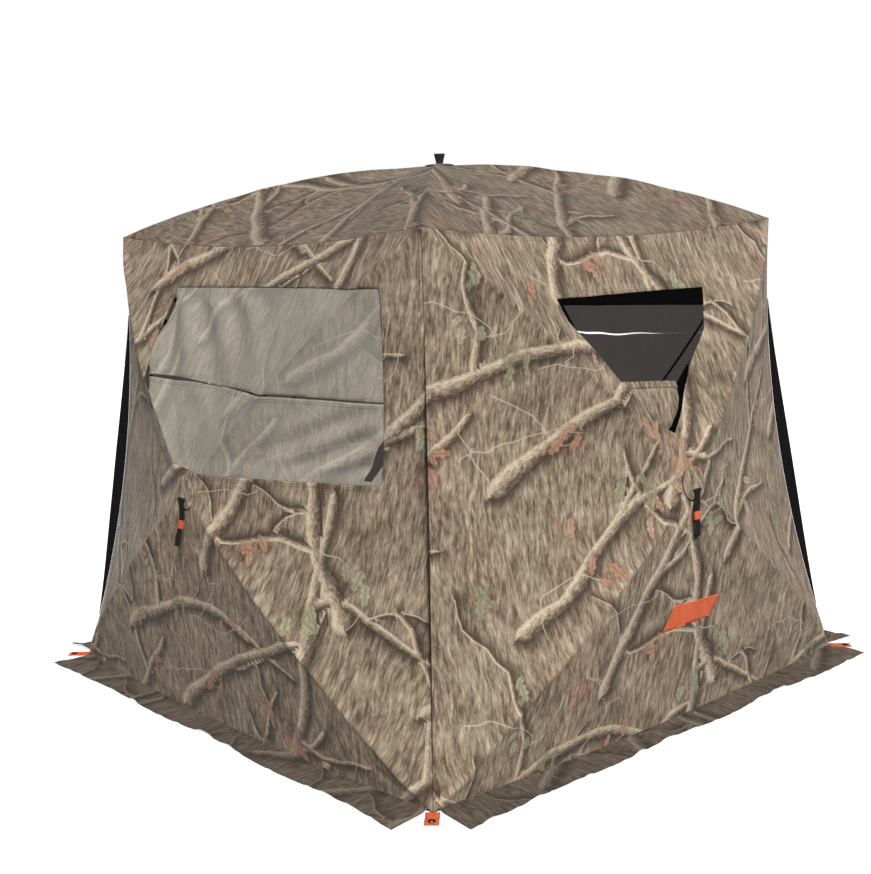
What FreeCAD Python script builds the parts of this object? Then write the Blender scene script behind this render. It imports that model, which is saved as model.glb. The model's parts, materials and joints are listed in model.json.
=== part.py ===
"""Pop-up ground blind: a square fabric shelter held out by five hubs.

Frame: origin on the ground at the middle of the floor, +Z up, millimetres.
The front wall faces -Y, the right wall +X, the back wall +Y and the left wall -X.
Each wall and the roof has a hub in its middle. Four curved rods run from the hub
to the corners, press the fabric outwards, and snap through when the hub is pulled or pushed.
"""

import FreeCAD, Part
import math
import os

from FreeCAD import Rotation, Vector

os.makedirs("parts", exist_ok=True)

# ---------------------------------------------------------------- driving dimensions, mm
floor_half = 1010.0         # middle of the floor to a wall at a floor corner
eave_half = 838.0           # the same at an eave corner
eave_height = 1607.0        # ground to an eave corner
roof_rise = 223.0           # from the eave corners up to the roof fabric at its hub
hub_beyond_floor = 126.0    # a wall hub's fabric beyond the floor's edge
hub_below_middle = 8.5      # a wall hub below half the eave's height
cloth = 1.5                 # thickness that stands for the coated cloth and its lining
skirt_width = 150.0         # from the floor's edge to the skirt's outer edge
skirt_taper = 5.0           # how much shorter each end of its outer edge is
skirt_thickness = 2.0
skirt_to_tab = 2.0          # from the end of a skirt flap to a stake tab

seam_pull = 80.0            # how far a corner seam is drawn in at its middle
eave_sag = 45.0             # how far an eave seam hangs at its middle
eave_pull = 20.0            # how far it is drawn in there
hem_bulge = 45.0            # how far the hem is pushed out at its middle
wall_bow = 45.0             # rise of a wall rod's arc over its chord
roof_bow = 52.0             # the same for a roof rod
facet_dip = 25.0            # how far the cloth between two rods lies below them

rod_radius = 4.75
ferrule_wall = 1.85         # moulded ferrule at the hub end
rod_start = 20.0            # from the pin to the rod's end inside the ferrule
eye_neck = 16.0             # from the pin to the ferrule's round sleeve, with a lap
sleeve_end = 44.0           # from the pin to the end of the sleeve
eye_play = 0.2              # each side of the eye, between the ears
tip_cover = 1.25            # wall of the cap at the corner end
tip_length = 26.0
tip_wall = 4.0              # from the rod's end to the end of the cap's straight part
socket_play = 6.4           # radial, between a rod's cap and the cup of its corner socket
socket_wall = 2.5
socket_grip = 8.0           # depth of the rod in its cup at rest
corner_inset = 24.0         # from the fabric corner to the middle of its socket
tip_setback = 60.0          # from the middle of the socket to the rod's tip

hub_radius = 33.0           # plate of the inner hub body
pin_beyond_plate = 3.0      # from the plate's edge to each rod's pin
hub_pin_radius = 2.5
hub_ear_gap = 8.4           # between the two ears that hold a rod
hub_ear_width = 4.0
hub_ear_radius = 7.0
cap_lip = 1.0               # outer clamping cap beyond the plate
cap_height = 5.0
cap_rounding = 1.5
clamp_margin = 21.0         # from the plate's edge to a corner of the square of flat cloth
pin_drop = 16.0             # from the cloth's outer face down to the pins
screw_radius = 3.0
screw_play = 0.1            # radial, in the hub and its cap
screw_head_height = 2.4
nut_height = 3.0
ear_root = 6.0              # how far the ears run in over the plate
plate_above_eye = 0.7       # from the rods' eyes up to the plate
bail_radius = 2.5           # bar on the cap that the pull strap hangs on
bail_rise = 6.2             # from the cap's face to the bar's axis
bail_drop = 20.0            # from the hub's axis down to the bar's axis
bail_play = 1.0             # each side of the strap, between the lugs
bail_lug = 5.0              # thickness of a lug
bail_lug_half = 4.0         # half its width
bail_lug_cover = 4.5        # from the bar's axis to the lug's top
strap_width = 25.0
strap_length = 150.0
strap_thickness = 3.0
knob_height = 38.0
knob_foot_radius = 13.0
knob_top_radius = 21.0
knob_recess = 2.8           # over the screw's head
knob_foot_height = 6.0

window_middle = -30.0       # the front window's middle, along the wall
window_half_width = 358.0   # half of its top edge
window_below_eave = 222.0   # from the eave corners down to its top edge
window_above_hub = 157.0    # from the hub's axis up to its lowest point
cover_rise = 190.0          # from there to the lowered cover's top edge at its left end
cover_right = 131.0         # from the window's middle to the cover's end
cover_slope = 0.085         # fall of its top edge to the right, per unit of length
cover_lap = 8.0             # how far it reaches past the window's left end
hem_band = 22.0             # height of the band along the cover's top edge
hem_inset = 38.0            # its end, in from the cover's end, so that it passes beside a rod

mesh_from_eave_end = 114.0  # from the eave corner in to the side window's end
mesh_width = 1094.0
mesh_below_eave = 175.0     # from the eave corners down to its top edge
mesh_above_hub = 77.0       # from the hub's axis up to its foot
mesh_split_rise = 256.0     # from its foot to the middle of the gap between its panels
mesh_gap = 9.0
mesh_gap_fall = 37.0        # how far the gap falls along the wall
mesh_thickness = 1.0
sewn_border = 22.0          # how far a panel laps behind the edge of its opening

door_foot = 212.0           # height of the door's lower corner
door_below_eave = 155.0     # from the eave corners down to its upper corner
door_from_seam = (103.0, 71.0)      # from the corner seam to its lower and upper corners
door_reach = 262.0          # from the hub's axis to its third corner, along the wall
door_above_hub = 11.0       # and above the hub's axis
zip_width = 16.0
zip_thickness = 1.0
zip_clearance = 5.0         # between the door panel and the edge of its opening
zip_from_hinge = 30.0       # the zip ends this far from the door's sewn edge
slider_share = 0.64         # the slider's place, from the door's point to its upper corner
slider_beside = 8.0         # from the door's free edge out to the slider's middle, clear of the door
slider_length, slider_width = 18.0, 10.0
slider_foot = 0.6           # from the cloth's outer face to the slider
slider_height = 2.8
puller_length, puller_width = 40.0, 7.0

fin_width = 38.0            # web along each corner seam, at its widest
fin_thickness = 2.0
fin_start, fin_end = 0.10, 0.82             # its ends, as shares of the seam
tab_width = 42.0            # stake tab of doubled webbing
tab_length = 78.0
tab_thickness = 3.0
eyelet_bore = 6.0
eyelet_radius = 11.0
eyelet_wall = 2.0
eyelet_rim = 1.0            # thickness of its flange
eyelet_from_end = 21.0      # from its middle to the tab's end
patch_width, patch_height = 235.0, 72.0     # blank patch on the front wall
patch_middle = 18.0         # along the wall
patch_below_hub = 419.0     # from the hub's axis down to its middle
patch_slant = 40.0
patch_thickness = 1.2

clear = 0.3                 # between cloth and the pieces that clamp or lap it
pin_play = 0.06             # radial, between a pin and a rod's eye
bonded = 0.1                # radial, between a rod and the ends bonded on it
sewn_gap = 0.8              # between two sewn edges that lie side by side
steps_out = 6               # cloth facets: divisions from the hub to the edge
steps_across = 6            # and from rod to rod; an even number

up = Vector(0, 0, 1)
quarter = 90.0
wall_names = ["front", "right", "back", "left"]
wall_corners = ["lower_left", "lower_right", "upper_right", "upper_left"]
roof_corners = ["front_left", "front_right", "back_right", "back_left"]


def write(name, solids):
    # one STEP per node; pieces of one node stay separate solids
    for solid in solids:
        if solid.Volume < 0:
            solid.reverse()
    shape = solids[0] if len(solids) == 1 else Part.makeCompound(solids)
    shape.exportStep(f"parts/{name}.step")
    return shape


def turned(shape, quarters):
    result = shape.copy()
    result.rotate(Vector(), up, quarter * quarters)
    return result


def on_front(along, out, height):
    # a place on the front wall, from its distance along, distance out and height
    return Vector(along, -out, height)


def mix(start, end, share):
    return start + (end - start) * share


def hump(share):
    # 0 at both ends of an edge and 1 at its middle
    return 4 * share * (1 - share)


def cylinder(radius, start, end):
    return Part.makeCylinder(radius, (end - start).Length, start, end - start)


def prism_through_wall(outline):
    # a block through the front wall with the given outline of (along, height) points
    inner, outer = eave_half / 2, wall_hub_out + 2 * wall_bow
    points = [on_front(s, inner, z) for s, z in outline]
    face = Part.Face(Part.makePolygon(points + points[:1]))
    return face.extrude(on_front(0, outer - inner, 0))


def grown(outline, margin):
    # the outline with each edge moved outwards by the margin
    middle = Vector(*[sum(c) / len(outline) for c in zip(*outline)], 0)
    lines = []
    for (a, b), (c, d) in zip(outline, outline[1:] + outline[:1]):
        way = Vector(c - a, d - b, 0).normalize()
        side = Vector(way.y, -way.x, 0)
        side = side if side.dot(Vector(a, b, 0) - middle) > 0 else -side
        lines.append((Vector(a, b, 0) + side * margin, way))
    moved = []
    for (p, u), (q, v) in zip(lines[-1:] + lines[:-1], lines):
        cross = u.x * v.y - u.y * v.x
        gap = q - p
        moved.append(p + u * ((gap.x * v.y - gap.y * v.x) / cross))
    return [(p.x, p.y) for p in moved]


# ---------------------------------------------------------------- where the frame stands

wall_hub_height = eave_height / 2 - hub_below_middle
wall_hub_out = floor_half + hub_beyond_floor
apex_height = eave_height + roof_rise
skirt_reach = floor_half + skirt_width
rod_end_radius = rod_radius + ferrule_wall
tip_radius = rod_radius + tip_cover
socket_bore = tip_radius + socket_play
socket_radius = socket_bore + socket_wall
hub_pin_circle = hub_radius + pin_beyond_plate
cap_radius = hub_radius + cap_lip
clamp_ring = hub_radius + clamp_margin
# the hub's axis is square to the line between the sockets, so its four rods are alike
wall_lean = math.atan2(floor_half - eave_half, eave_height - 2 * corner_inset)
wall_normal = on_front(0, math.cos(wall_lean), math.sin(wall_lean))

floor_left = on_front(-floor_half, floor_half, 0)
floor_right = on_front(floor_half, floor_half, 0)
eave_right = on_front(eave_half, eave_half, eave_height)
eave_left = on_front(-eave_half, eave_half, eave_height)


class Panel:
    """One cloth panel: its hub, its corners in order, and how its edges are drawn."""

    def __init__(self, centre, normal, corners, pulls, mitres, corner_mitres, bow):
        self.centre, self.normal, self.corners = centre, normal, corners
        self.pulls, self.mitres, self.corner_mitres, self.bow = pulls, mitres, corner_mitres, bow

    def toward(self, facet):
        # unit direction in the hub's plane from the hub to a corner
        way = self.corners[facet % 4] - self.centre
        return (way - self.normal * way.dot(self.normal)).normalize()

    def point(self, facet, out, across, level):
        # out: 0 at the clamped square, 1 at the edge; across: 0 at one rod, 1 at the next;
        # level: depth below the outer face
        ring = mix(self.toward(facet), self.toward(facet + 1), across) * clamp_ring + self.centre
        start, end = self.corners[facet], self.corners[(facet + 1) % 4]
        edge = mix(start, end, across) + self.pulls[facet] * hump(across)
        bulge = hump(out) * (self.bow - facet_dip * hump(across))
        if out < 1:
            inward = -self.normal
        elif across == 0:
            inward = self.corner_mitres[facet]
        else:
            inward = self.mitres[facet]
        return mix(ring, edge, out) + self.normal * bulge + inward * level

    def sheet(self, top, bottom):
        # closed solid between two levels, with flat triangles
        keys = [(f, i, j) for f in range(4) for i in range(steps_out + 1) for j in range(steps_across)]
        number = {key: n for n, key in enumerate(keys)}
        count = len(keys) + 1
        points = []
        for level in (top, bottom):
            points += [self.point(f, i / steps_out, j / steps_across, level) for f, i, j in keys]
            points.append(self.centre - self.normal * level)

        def index(f, i, j):
            return number[(f, i, j)] if j < steps_across else number[((f + 1) % 4, i, 0)]

        upper = []
        for f in range(4):
            for j in range(steps_across):
                upper.append((len(keys), index(f, 0, j), index(f, 0, j + 1)))
                for i in range(steps_out):
                    a, b = index(f, i, j), index(f, i + 1, j)
                    c, d = index(f, i + 1, j + 1), index(f, i, j + 1)
                    upper += [(a, b, c), (a, c, d)]
        triangles = upper + [(a + count, c + count, b + count) for a, b, c in upper]
        for f in range(4):
            for j in range(steps_across):
                a, b = index(f, steps_out, j), index(f, steps_out, j + 1)
                if points[a].z <= points[b].z:      # neighbours split their shared faces alike
                    triangles += [(a, a + count, b + count), (a, b + count, b)]
                else:
                    triangles += [(a, a + count, b), (b, a + count, b + count)]
        shape = Part.Shape()
        shape.makeShapeFromMesh((points, triangles), 0.001)
        solid = Part.Solid(Part.Shell(shape.Faces))
        if solid.Volume < 0:
            solid.reverse()
        return solid


def make_wall():
    seam = Vector(1, -1, 0).normalize()         # outwards along the right corner's diagonal
    left_seam = Vector(-1, -1, 0).normalize()
    return Panel(
        centre=on_front(0, wall_hub_out, wall_hub_height),
        normal=wall_normal,
        corners=[floor_left, floor_right, eave_right, eave_left],
        pulls=[on_front(0, hem_bulge, 0), seam * -seam_pull, on_front(0, -eave_pull, -eave_sag),
               left_seam * -seam_pull],
        mitres=[Vector(0, 1, 0), Vector(-1, 1, 0), Vector(0, 1, -1), Vector(1, 1, 0)],
        corner_mitres=[Vector(1, 1, 0), Vector(-1, 1, 0), Vector(-1, 1, -1), Vector(1, 1, -1)],
        bow=wall_bow,
    )


def make_roof():
    pulls, mitres, corner_mitres, corners = [], [], [], []
    for k in range(4):
        turn = Rotation(up, quarter * k)
        corners.append(turn.multVec(eave_left))
        pulls.append(turn.multVec(on_front(0, -eave_pull, -eave_sag)))
        mitres.append(turn.multVec(Vector(0, 1, -1)))
        corner_mitres.append(turn.multVec(Vector(1, 1, -1)))
    return Panel(Vector(0, 0, apex_height), up, corners, pulls, mitres, corner_mitres, roof_bow)


wall = make_wall()
roof = make_roof()


def socket_middles(panel):
    # middle of the socket at each corner of a panel, inside the cloth
    middles = []
    for corner in panel.corners:
        rise = corner_inset if corner.z < eave_height / 2 else -corner_inset
        middles.append(corner + Vector(-math.copysign(corner_inset, corner.x),
                                       -math.copysign(corner_inset, corner.y), rise))
    return middles


class Spoke:
    """One rod of a hub, in the plane through the hub's axis and the rod's corner.

    r is the distance from the hub's axis and n the height along the hub's normal,
    counted from the level of the pins.
    """

    def __init__(self, panel, facet):
        self.normal = panel.normal
        self.base = panel.centre - panel.normal * pin_drop
        node = socket_middles(panel)[facet]
        way = node - self.base
        self.drop = -way.dot(self.normal)                   # the hub stands this far out
        flat = way + self.normal * self.drop
        self.out = flat.normalize()
        self.reach = (way - self.normal * way.dot(self.normal)).Length - tip_setback
        self.run = self.reach - hub_pin_circle
        self.chord = math.hypot(self.run, self.drop)
        self.slope = math.asin(self.drop / self.chord)      # of the chord below the hub's plane
        rise = panel.bow
        self.bend = (self.chord ** 2 / 4 + rise ** 2) / (2 * rise)
        self.half_turn = math.asin(self.chord / 2 / self.bend)
        self.overshoot = self.chord - self.run              # past its corner in mid travel

    def place(self, r, n, side=0.0):
        return self.base + self.out * r + self.normal * n + self.across() * side

    def across(self):
        return self.normal.cross(self.out)

    def on_arc(self, share):
        # r, n on the rod's axis: share 0 at the pin and 1 at the tip
        angle = self.half_turn * (2 * share - 1)
        along = self.chord / 2 + self.bend * math.sin(angle)
        rise = self.bend * (math.cos(angle) - math.cos(self.half_turn))
        c, s = math.cos(self.slope), math.sin(self.slope)
        return hub_pin_circle + along * c + rise * s, -along * s + rise * c

    def heading(self, share):
        # direction of the rod's axis, away from the hub
        angle = -self.slope - self.half_turn * (2 * share - 1)
        return self.out * math.cos(angle) + self.normal * math.sin(angle)

    def pin(self):
        half = hub_ear_gap / 2 + hub_ear_width
        return cylinder(hub_pin_radius, self.place(hub_pin_circle, 0, -half),
                        self.place(hub_pin_circle, 0, half))

    def bar(self, radius, start, end):
        # round bar along the arc, between two distances from the pin
        start, end = start / self.chord, end / self.chord
        first, last = self.place(*self.on_arc(start)), self.place(*self.on_arc(end))
        middle = self.place(*self.on_arc((start + end) / 2))
        path = Part.Wire(Part.Arc(first, middle, last).toShape())
        ring = Part.Wire(Part.Circle(first, self.heading(start), radius).toShape())
        return path.makePipeShell([ring], True, True)

    def pieces(self):
        # the rod, its eye at the hub and its cap at the corner
        pin_at = self.place(hub_pin_circle, 0)
        way = self.heading(0)
        side = self.across() * (hub_ear_gap / 2 - eye_play)
        lift = way.cross(self.across())
        eye = cylinder(hub_ear_radius - 2 * eye_play, pin_at - side, pin_at + side)
        neck_half = rod_radius
        neck_start, neck_end = pin_at, pin_at + way * eye_neck
        corners = [neck_start - side + lift * neck_half, neck_start - side - lift * neck_half,
                   neck_end - side - lift * neck_half, neck_end - side + lift * neck_half]
        neck = Part.Face(Part.makePolygon(corners + corners[:1])).extrude(side * 2)
        sleeve = cylinder(rod_end_radius, pin_at + way * (eye_neck - 2), pin_at + way * sleeve_end)
        hole = cylinder(hub_pin_radius + pin_play, pin_at - side * 2, pin_at + side * 2)
        bore = self.bar(rod_radius + bonded, rod_start, sleeve_end + rod_end_radius)
        ferrule = eye.fuse([neck, sleeve]).cut(hole).cut(bore).removeSplitter()
        tip_at = self.place(*self.on_arc(1))
        back = self.heading(1) * -1
        cap = cylinder(tip_radius, tip_at, tip_at + back * tip_length)
        cap = cap.fuse(Part.makeSphere(tip_radius, tip_at))
        cap = cap.cut(self.bar(rod_radius + bonded, self.chord - 1.5 * tip_length, self.chord - tip_wall))
        rod = self.bar(rod_radius, rod_start + 5 * bonded, self.chord - tip_wall - 5 * bonded)
        return [rod, ferrule, cap.removeSplitter()]

    def ears(self):
        solids = []
        for hand in (-1, 1):
            inner, outer = hand * hub_ear_gap / 2, hand * (hub_ear_gap / 2 + hub_ear_width)
            plate = [(hub_radius - ear_root, 0), (hub_pin_circle + hub_ear_radius, 0),
                     (hub_pin_circle + hub_ear_radius, pin_drop - cloth - clear),
                     (hub_radius - ear_root, pin_drop - cloth - clear)]
            points = [self.place(r, n, inner) for r, n in plate]
            block = Part.Face(Part.makePolygon(points + points[:1]))
            block = block.extrude(self.across() * (outer - inner))
            round_end = cylinder(hub_ear_radius, self.place(hub_pin_circle, 0, inner),
                                 self.place(hub_pin_circle, 0, outer))
            solids.append(block.fuse(round_end))
        return solids

    def cup_ends(self):
        # axis of the socket cup: its mouth and its closed end. It leans with the arc,
        # half way between the rod's heading before and after it snaps through.
        tip = self.place(*self.on_arc(1))
        axis = self.out * math.cos(self.half_turn) - self.normal * math.sin(self.half_turn)
        depth = self.overshoot + tip_radius + 2
        return tip - axis * socket_grip, tip + axis * depth

    def travel(self):
        return 2 * self.drop

    def swing(self):
        # angle turned about the pin as the hub snaps through
        return 2 * self.slope


wall_spokes = [Spoke(wall, f) for f in range(4)]
roof_spokes = [Spoke(roof, f) for f in range(4)]

# ---------------------------------------------------------------- hubs


def hub_pieces(panel, spokes):
    n = panel.normal
    base = spokes[0].base
    under_cloth = pin_drop - cloth - clear
    plate_foot = hub_ear_radius + plate_above_eye
    body = cylinder(hub_radius, base + n * plate_foot, base + n * under_cloth)
    body = body.fuse([ear for spoke in spokes for ear in spoke.ears()])
    body = body.cut([cylinder(screw_radius + screw_play, base, base + n * pin_drop)])
    body = body.cut([spoke.pin() for spoke in spokes]).removeSplitter()

    cap_foot = pin_drop + clear
    cap_top = cap_foot + cap_height
    screw = cylinder(screw_radius, base + n * (plate_foot - nut_height - 1), base + n * cap_top)
    head = cylinder(2 * screw_radius, base + n * cap_top, base + n * (cap_top + screw_head_height))
    nut = cylinder(2 * screw_radius, base + n * (plate_foot - nut_height), base + n * plate_foot)
    fixings = [spoke.pin() for spoke in spokes] + [screw.fuse([head, nut]).removeSplitter()]

    cap = cylinder(cap_radius, base + n * cap_foot, base + n * cap_top)
    rim = cap.Edges
    top_edges = [e for e in rim if e.isClosed() and e.CenterOfMass.sub(base).dot(n) > cap_top - 1]
    cap = cap.makeFillet(cap_rounding, top_edges)
    cap = cap.cut(cylinder(screw_radius + screw_play, base + n * cap_foot, base + n * cap_top))
    return body, cap, fixings


def bail_axis():
    # middle of the bar that a wall's pull strap hangs on
    down = Vector(1, 0, 0).cross(wall_normal) * -1
    down = down if down.z < 0 else down * -1
    level = clear + cap_height + bail_rise
    return wall.centre + wall_normal * level + down * bail_drop, down


def bail_pieces():
    middle, down = bail_axis()
    inner = strap_width / 2 + bail_play
    outer = inner + bail_lug
    top = bail_rise + bail_lug_cover
    foot = middle - wall_normal * (bail_rise + 1)
    lugs = []
    for hand in (-1, 1):
        side = Vector(1, 0, 0)
        corners = []
        for d, h in ((-1, 0), (1, 0), (1, top), (-1, top)):
            corners.append(foot + down * (d * bail_lug_half) + wall_normal * h + side * (hand * inner))
        face = Part.Face(Part.makePolygon(corners + corners[:1]))
        lugs.append(face.extrude(side * (hand * (outer - inner))))
    bar = cylinder(bail_radius, middle - Vector(outer, 0, 0), middle + Vector(outer, 0, 0))
    return lugs + [bar]


def pull_strap():
    # doubled webbing that hangs from the bail, with a stitched loop round the bar
    middle, _ = bail_axis()
    half = Vector(strap_width / 2, 0, 0)
    eye_radius = bail_radius + pin_play + strap_thickness / 2
    eye = cylinder(eye_radius, middle - half, middle + half)
    low = Vector(-strap_width / 2, -strap_thickness / 2, -strap_length)
    web = Part.makeBox(strap_width, strap_thickness, strap_length, middle + low)
    hole = cylinder(bail_radius + pin_play, middle - half * 2, middle + half * 2)
    return eye.fuse(web).cut(hole).removeSplitter()


def pull_knob():
    # tapered grip on top of the roof hub, over its screw
    base = apex_height + clear + cap_height
    hollow = 3 * screw_radius
    profile = [(0, knob_recess), (hollow, knob_recess), (hollow, 0), (knob_foot_radius, 0),
               (knob_foot_radius, knob_foot_height), (knob_top_radius - 2, knob_height - 6),
               (knob_top_radius, knob_height - 3), (knob_top_radius - 2.5, knob_height), (0, knob_height)]
    points = [Vector(r, 0, base + h) for r, h in profile]
    return Part.Face(Part.makePolygon(points + points[:1])).revolve(Vector(), up, 360)


for k, name in enumerate(wall_names + ["roof"]):
    is_wall = name != "roof"
    spokes, panel = (wall_spokes, wall) if is_wall else (roof_spokes, roof)
    corners = wall_corners if is_wall else roof_corners
    turns = k if is_wall else 0
    body, cap, fixings = hub_pieces(panel, spokes)
    if is_wall:
        cap = cap.fuse(bail_pieces()).removeSplitter()
    write(f"{name}_hub_body", [turned(body, turns)])
    write(f"{name}_hub_cap", [turned(cap, turns)])
    write(f"{name}_hub_pins", [turned(piece, turns) for piece in fixings])
    for spoke, corner in zip(spokes, corners):
        write(f"{name}_pole_{corner}", [turned(piece, turns) for piece in spoke.pieces()])
    if is_wall:
        write(f"{name}_pull_strap", [turned(pull_strap(), turns)])
write("roof_pull_knob", [pull_knob()])

# ---------------------------------------------------------------- corner sockets


def corner_socket(middle, spokes_here, sheets, foot):
    # three cups at an eave corner, two at a floor corner, grown from a ball that
    # fills the corner up to the cloth it is sewn in
    room = min(sheet.distToShape(Part.Vertex(middle))[0] for sheet in sheets)
    ball = Part.makeSphere(room - clear, middle, Vector(middle.x, middle.y, middle.z - eave_height / 2))
    outsides, bores = [], []
    for spoke, turns in spokes_here:
        mouth, end = [Rotation(up, quarter * turns).multVec(p) for p in spoke.cup_ends()]
        outsides.append(cylinder(socket_radius, middle, end))
        outsides.append(cylinder(socket_radius, end, mouth))
        bores.append(cylinder(socket_bore, end, mouth + (mouth - end) * 0.2))
    if foot:
        size = 2 * socket_radius
        outsides.append(Part.makeBox(size, size, middle.z, middle - Vector(size / 2, size / 2, middle.z)))
    return ball.fuse(outsides).cut(bores).removeSplitter()


wall_cloth, roof_cloth = wall.sheet(0, cloth), roof.sheet(0, cloth)
corner_walls = [wall_cloth, turned(wall_cloth, -1)]        # the front and the left wall
eave_spokes = [(roof_spokes[0], 0), (wall_spokes[3], 0), (wall_spokes[2], -1)]
floor_spokes = [(wall_spokes[0], 0), (wall_spokes[1], -1)]
eave_socket = corner_socket(socket_middles(roof)[0], eave_spokes, corner_walls + [roof_cloth], False)
floor_socket = corner_socket(socket_middles(wall)[0], floor_spokes, corner_walls, True)
write("eave_corner_sockets", [turned(eave_socket, k) for k in range(4)])
write("floor_corner_sockets", [turned(floor_socket, k) for k in range(4)])

# ---------------------------------------------------------------- cloth


def scaled(shares, corner, width, height):
    # an outline given in shares of its width and height, from its lower left corner
    return [(corner[0] + s * width, corner[1] + t * height) for s, t in shares]


def seam_along(height):
    # distance of the front wall's right seam from the wall's middle, at a height
    share = height / eave_height
    return mix(floor_half, eave_half, share) - seam_pull * math.sqrt(0.5) * hump(share)


window_foot = wall_hub_height + window_above_hub
window_tall = eave_height - window_below_eave - window_foot
window_left = window_middle - window_half_width
window_shares = [(0, 1), (0.015, 0.85), (0.20, 0.44), (0.40, 0.08), (0.50, 0),
                 (0.585, 0.16), (0.72, 0.44), (0.90, 0.70), (1, 1)]
front_window = scaled(window_shares, (window_left, window_foot), 2 * window_half_width, window_tall)

mesh_foot = wall_hub_height + mesh_above_hub
mesh_tall = eave_height - mesh_below_eave - mesh_foot
mesh_left = eave_half - mesh_from_eave_end - mesh_width
mesh_shares = [(0.005, 1), (0, 0.65), (0.05, 0.30), (0.11, 0.10), (0.23, 0.02), (0.39, -0.02),
               (1, 0), (0.995, 1.014)]
mesh_window = scaled(mesh_shares, (mesh_left, mesh_foot), mesh_width, mesh_tall)

door_head = eave_height - door_below_eave
door_hinge_foot = (seam_along(door_foot) - door_from_seam[0], door_foot)
door_hinge_head = (seam_along(door_head) - door_from_seam[1], door_head)
door_point = (door_reach, wall_hub_height + door_above_hub)
door_outline = [door_hinge_foot, door_hinge_head, door_point]

bolt_room = screw_radius + 1.5
bolt_hole = cylinder(bolt_room, wall.centre - wall_normal * 20, wall.centre + wall_normal * 20)
plain_wall = wall_cloth.cut(bolt_hole)
triangle_cut = prism_through_wall(front_window)
mesh_cut = prism_through_wall(mesh_window)
door_cut = prism_through_wall(grown(door_outline, zip_clearance))
write("wall_front", [plain_wall.cut(triangle_cut)])
write("wall_right", [turned(plain_wall.cut(mesh_cut).mirror(Vector(), Vector(1, 0, 0)), 1)])
write("wall_back", [turned(plain_wall.cut(door_cut), 2)])
write("wall_left", [turned(plain_wall.cut(mesh_cut), 3)])

roof_hole = cylinder(bolt_room, roof.centre - up * 20, roof.centre + up * 20)
write("roof_canopy", [roof_cloth.cut(roof_hole)])


def sewn_edge(facet, share):
    # a place on one edge of the front wall, along its straight stretches between the steps
    step = min(int(share * steps_across), steps_across - 1)
    ends = [wall.point(facet, 1, s / steps_across, 0) for s in (step, step + 1)]
    return mix(ends[0], ends[1], share * steps_across - step)


# skirt: one flap per wall, flat on the ground outside the hem, clear of the stake tabs
diagonal = Vector(-1, -1, 0).normalize()
tab_start = floor_left + diagonal * sewn_gap
flap_half = -tab_start.x - tab_width / 2 * math.sqrt(0.5) - skirt_to_tab
end_share = (1 - flap_half / floor_half) / 2
hem_shares = [end_share] + [j / steps_across for j in range(1, steps_across)] + [1 - end_share]
flap = [sewn_edge(0, share) + on_front(0, sewn_gap, 0) for share in hem_shares]
flap += [on_front(hand * (flap_half - skirt_taper), skirt_reach, 0) for hand in (1, -1)]
flap = Part.Face(Part.makePolygon(flap + flap[:1])).extrude(up * skirt_thickness)
write("ground_skirt", [turned(flap, k) for k in range(4)])


# web that stands out along each corner seam, in the corner's diagonal plane
def seam_place(share, outward):
    return sewn_edge(3, 1 - share) + diagonal * outward


fin_marks = [fin_start + (fin_end - fin_start) * k / 12 for k in range(13)]
fin_inner = [seam_place(t, sewn_gap) for t in fin_marks]
fin_outer = [seam_place(t, sewn_gap + 2 + fin_width * math.sin(math.pi * k / 12))
             for k, t in enumerate(fin_marks)]
fin_loop = fin_inner + fin_outer[::-1]
fin_side = Vector(1, -1, 0).normalize() * fin_thickness
fin = Part.Face(Part.makePolygon([p - fin_side / 2 for p in fin_loop + fin_loop[:1]])).extrude(fin_side)
write("corner_webs", [turned(fin, k) for k in range(4)])

# stake tabs and their eyelets, flat on the ground at the floor corners
tab_side = Vector(1, -1, 0).normalize() * (tab_width / 2)
eyelet_at = tab_start + diagonal * (tab_length - eyelet_from_end)
corners = [tab_start - tab_side, tab_start + tab_side,
           tab_start + tab_side + diagonal * tab_length, tab_start - tab_side + diagonal * tab_length]
tab = Part.Face(Part.makePolygon(corners + corners[:1])).extrude(up * tab_thickness)
tab = tab.cut(cylinder(eyelet_bore + eyelet_wall, eyelet_at, eyelet_at + up * tab_thickness))
write("stake_tabs", [turned(tab, k) for k in range(4)])
eyelet_top = eyelet_at + up * (tab_thickness + eyelet_rim)
flange = cylinder(eyelet_radius, eyelet_at + up * tab_thickness, eyelet_top)
barrel = cylinder(eyelet_bore + eyelet_wall - 0.05, eyelet_at, eyelet_top)
eyelet = flange.fuse(barrel).cut(cylinder(eyelet_bore, eyelet_at, eyelet_top)).removeSplitter()
write("stake_eyelets", [turned(eyelet, k) for k in range(4)])

# ---------------------------------------------------------------- windows, door and patch


def backing(top, thickness, outline):
    # piece of cloth behind the wall: its depth below the wall's outer face, and its outline
    return wall.sheet(top, top + thickness).common(prism_through_wall(outline))


behind = cloth + clear
cover_left = window_left - cover_lap
cover_end = window_middle + cover_right
cover_top = window_foot + cover_rise
cover_end_top = cover_top - cover_slope * (cover_end - cover_left)
cover_step = hem_band + 2       # the cover starts this far below the top of its band
cover_outline = [
    (cover_left, cover_top - cover_step), (cover_end, cover_end_top - cover_step),
    (cover_end - 70, window_foot + 0.32 * cover_rise), (window_middle - 18, window_foot - 42),
    (window_middle - 110, window_foot - 20), (window_middle - 260, window_foot + 0.47 * cover_rise),
]
hem_left = cover_left + hem_inset
hem_left_top = cover_top - cover_slope * hem_inset
hem_outline = [
    (hem_left, hem_left_top), (hem_left, hem_left_top - hem_band),
    (cover_end, cover_end_top - hem_band), (cover_end, cover_end_top),
]
write("front_window_cover", [backing(behind, cloth, cover_outline)])
write("front_cover_hem", [backing(behind, 2 * cloth, hem_outline)])

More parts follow.
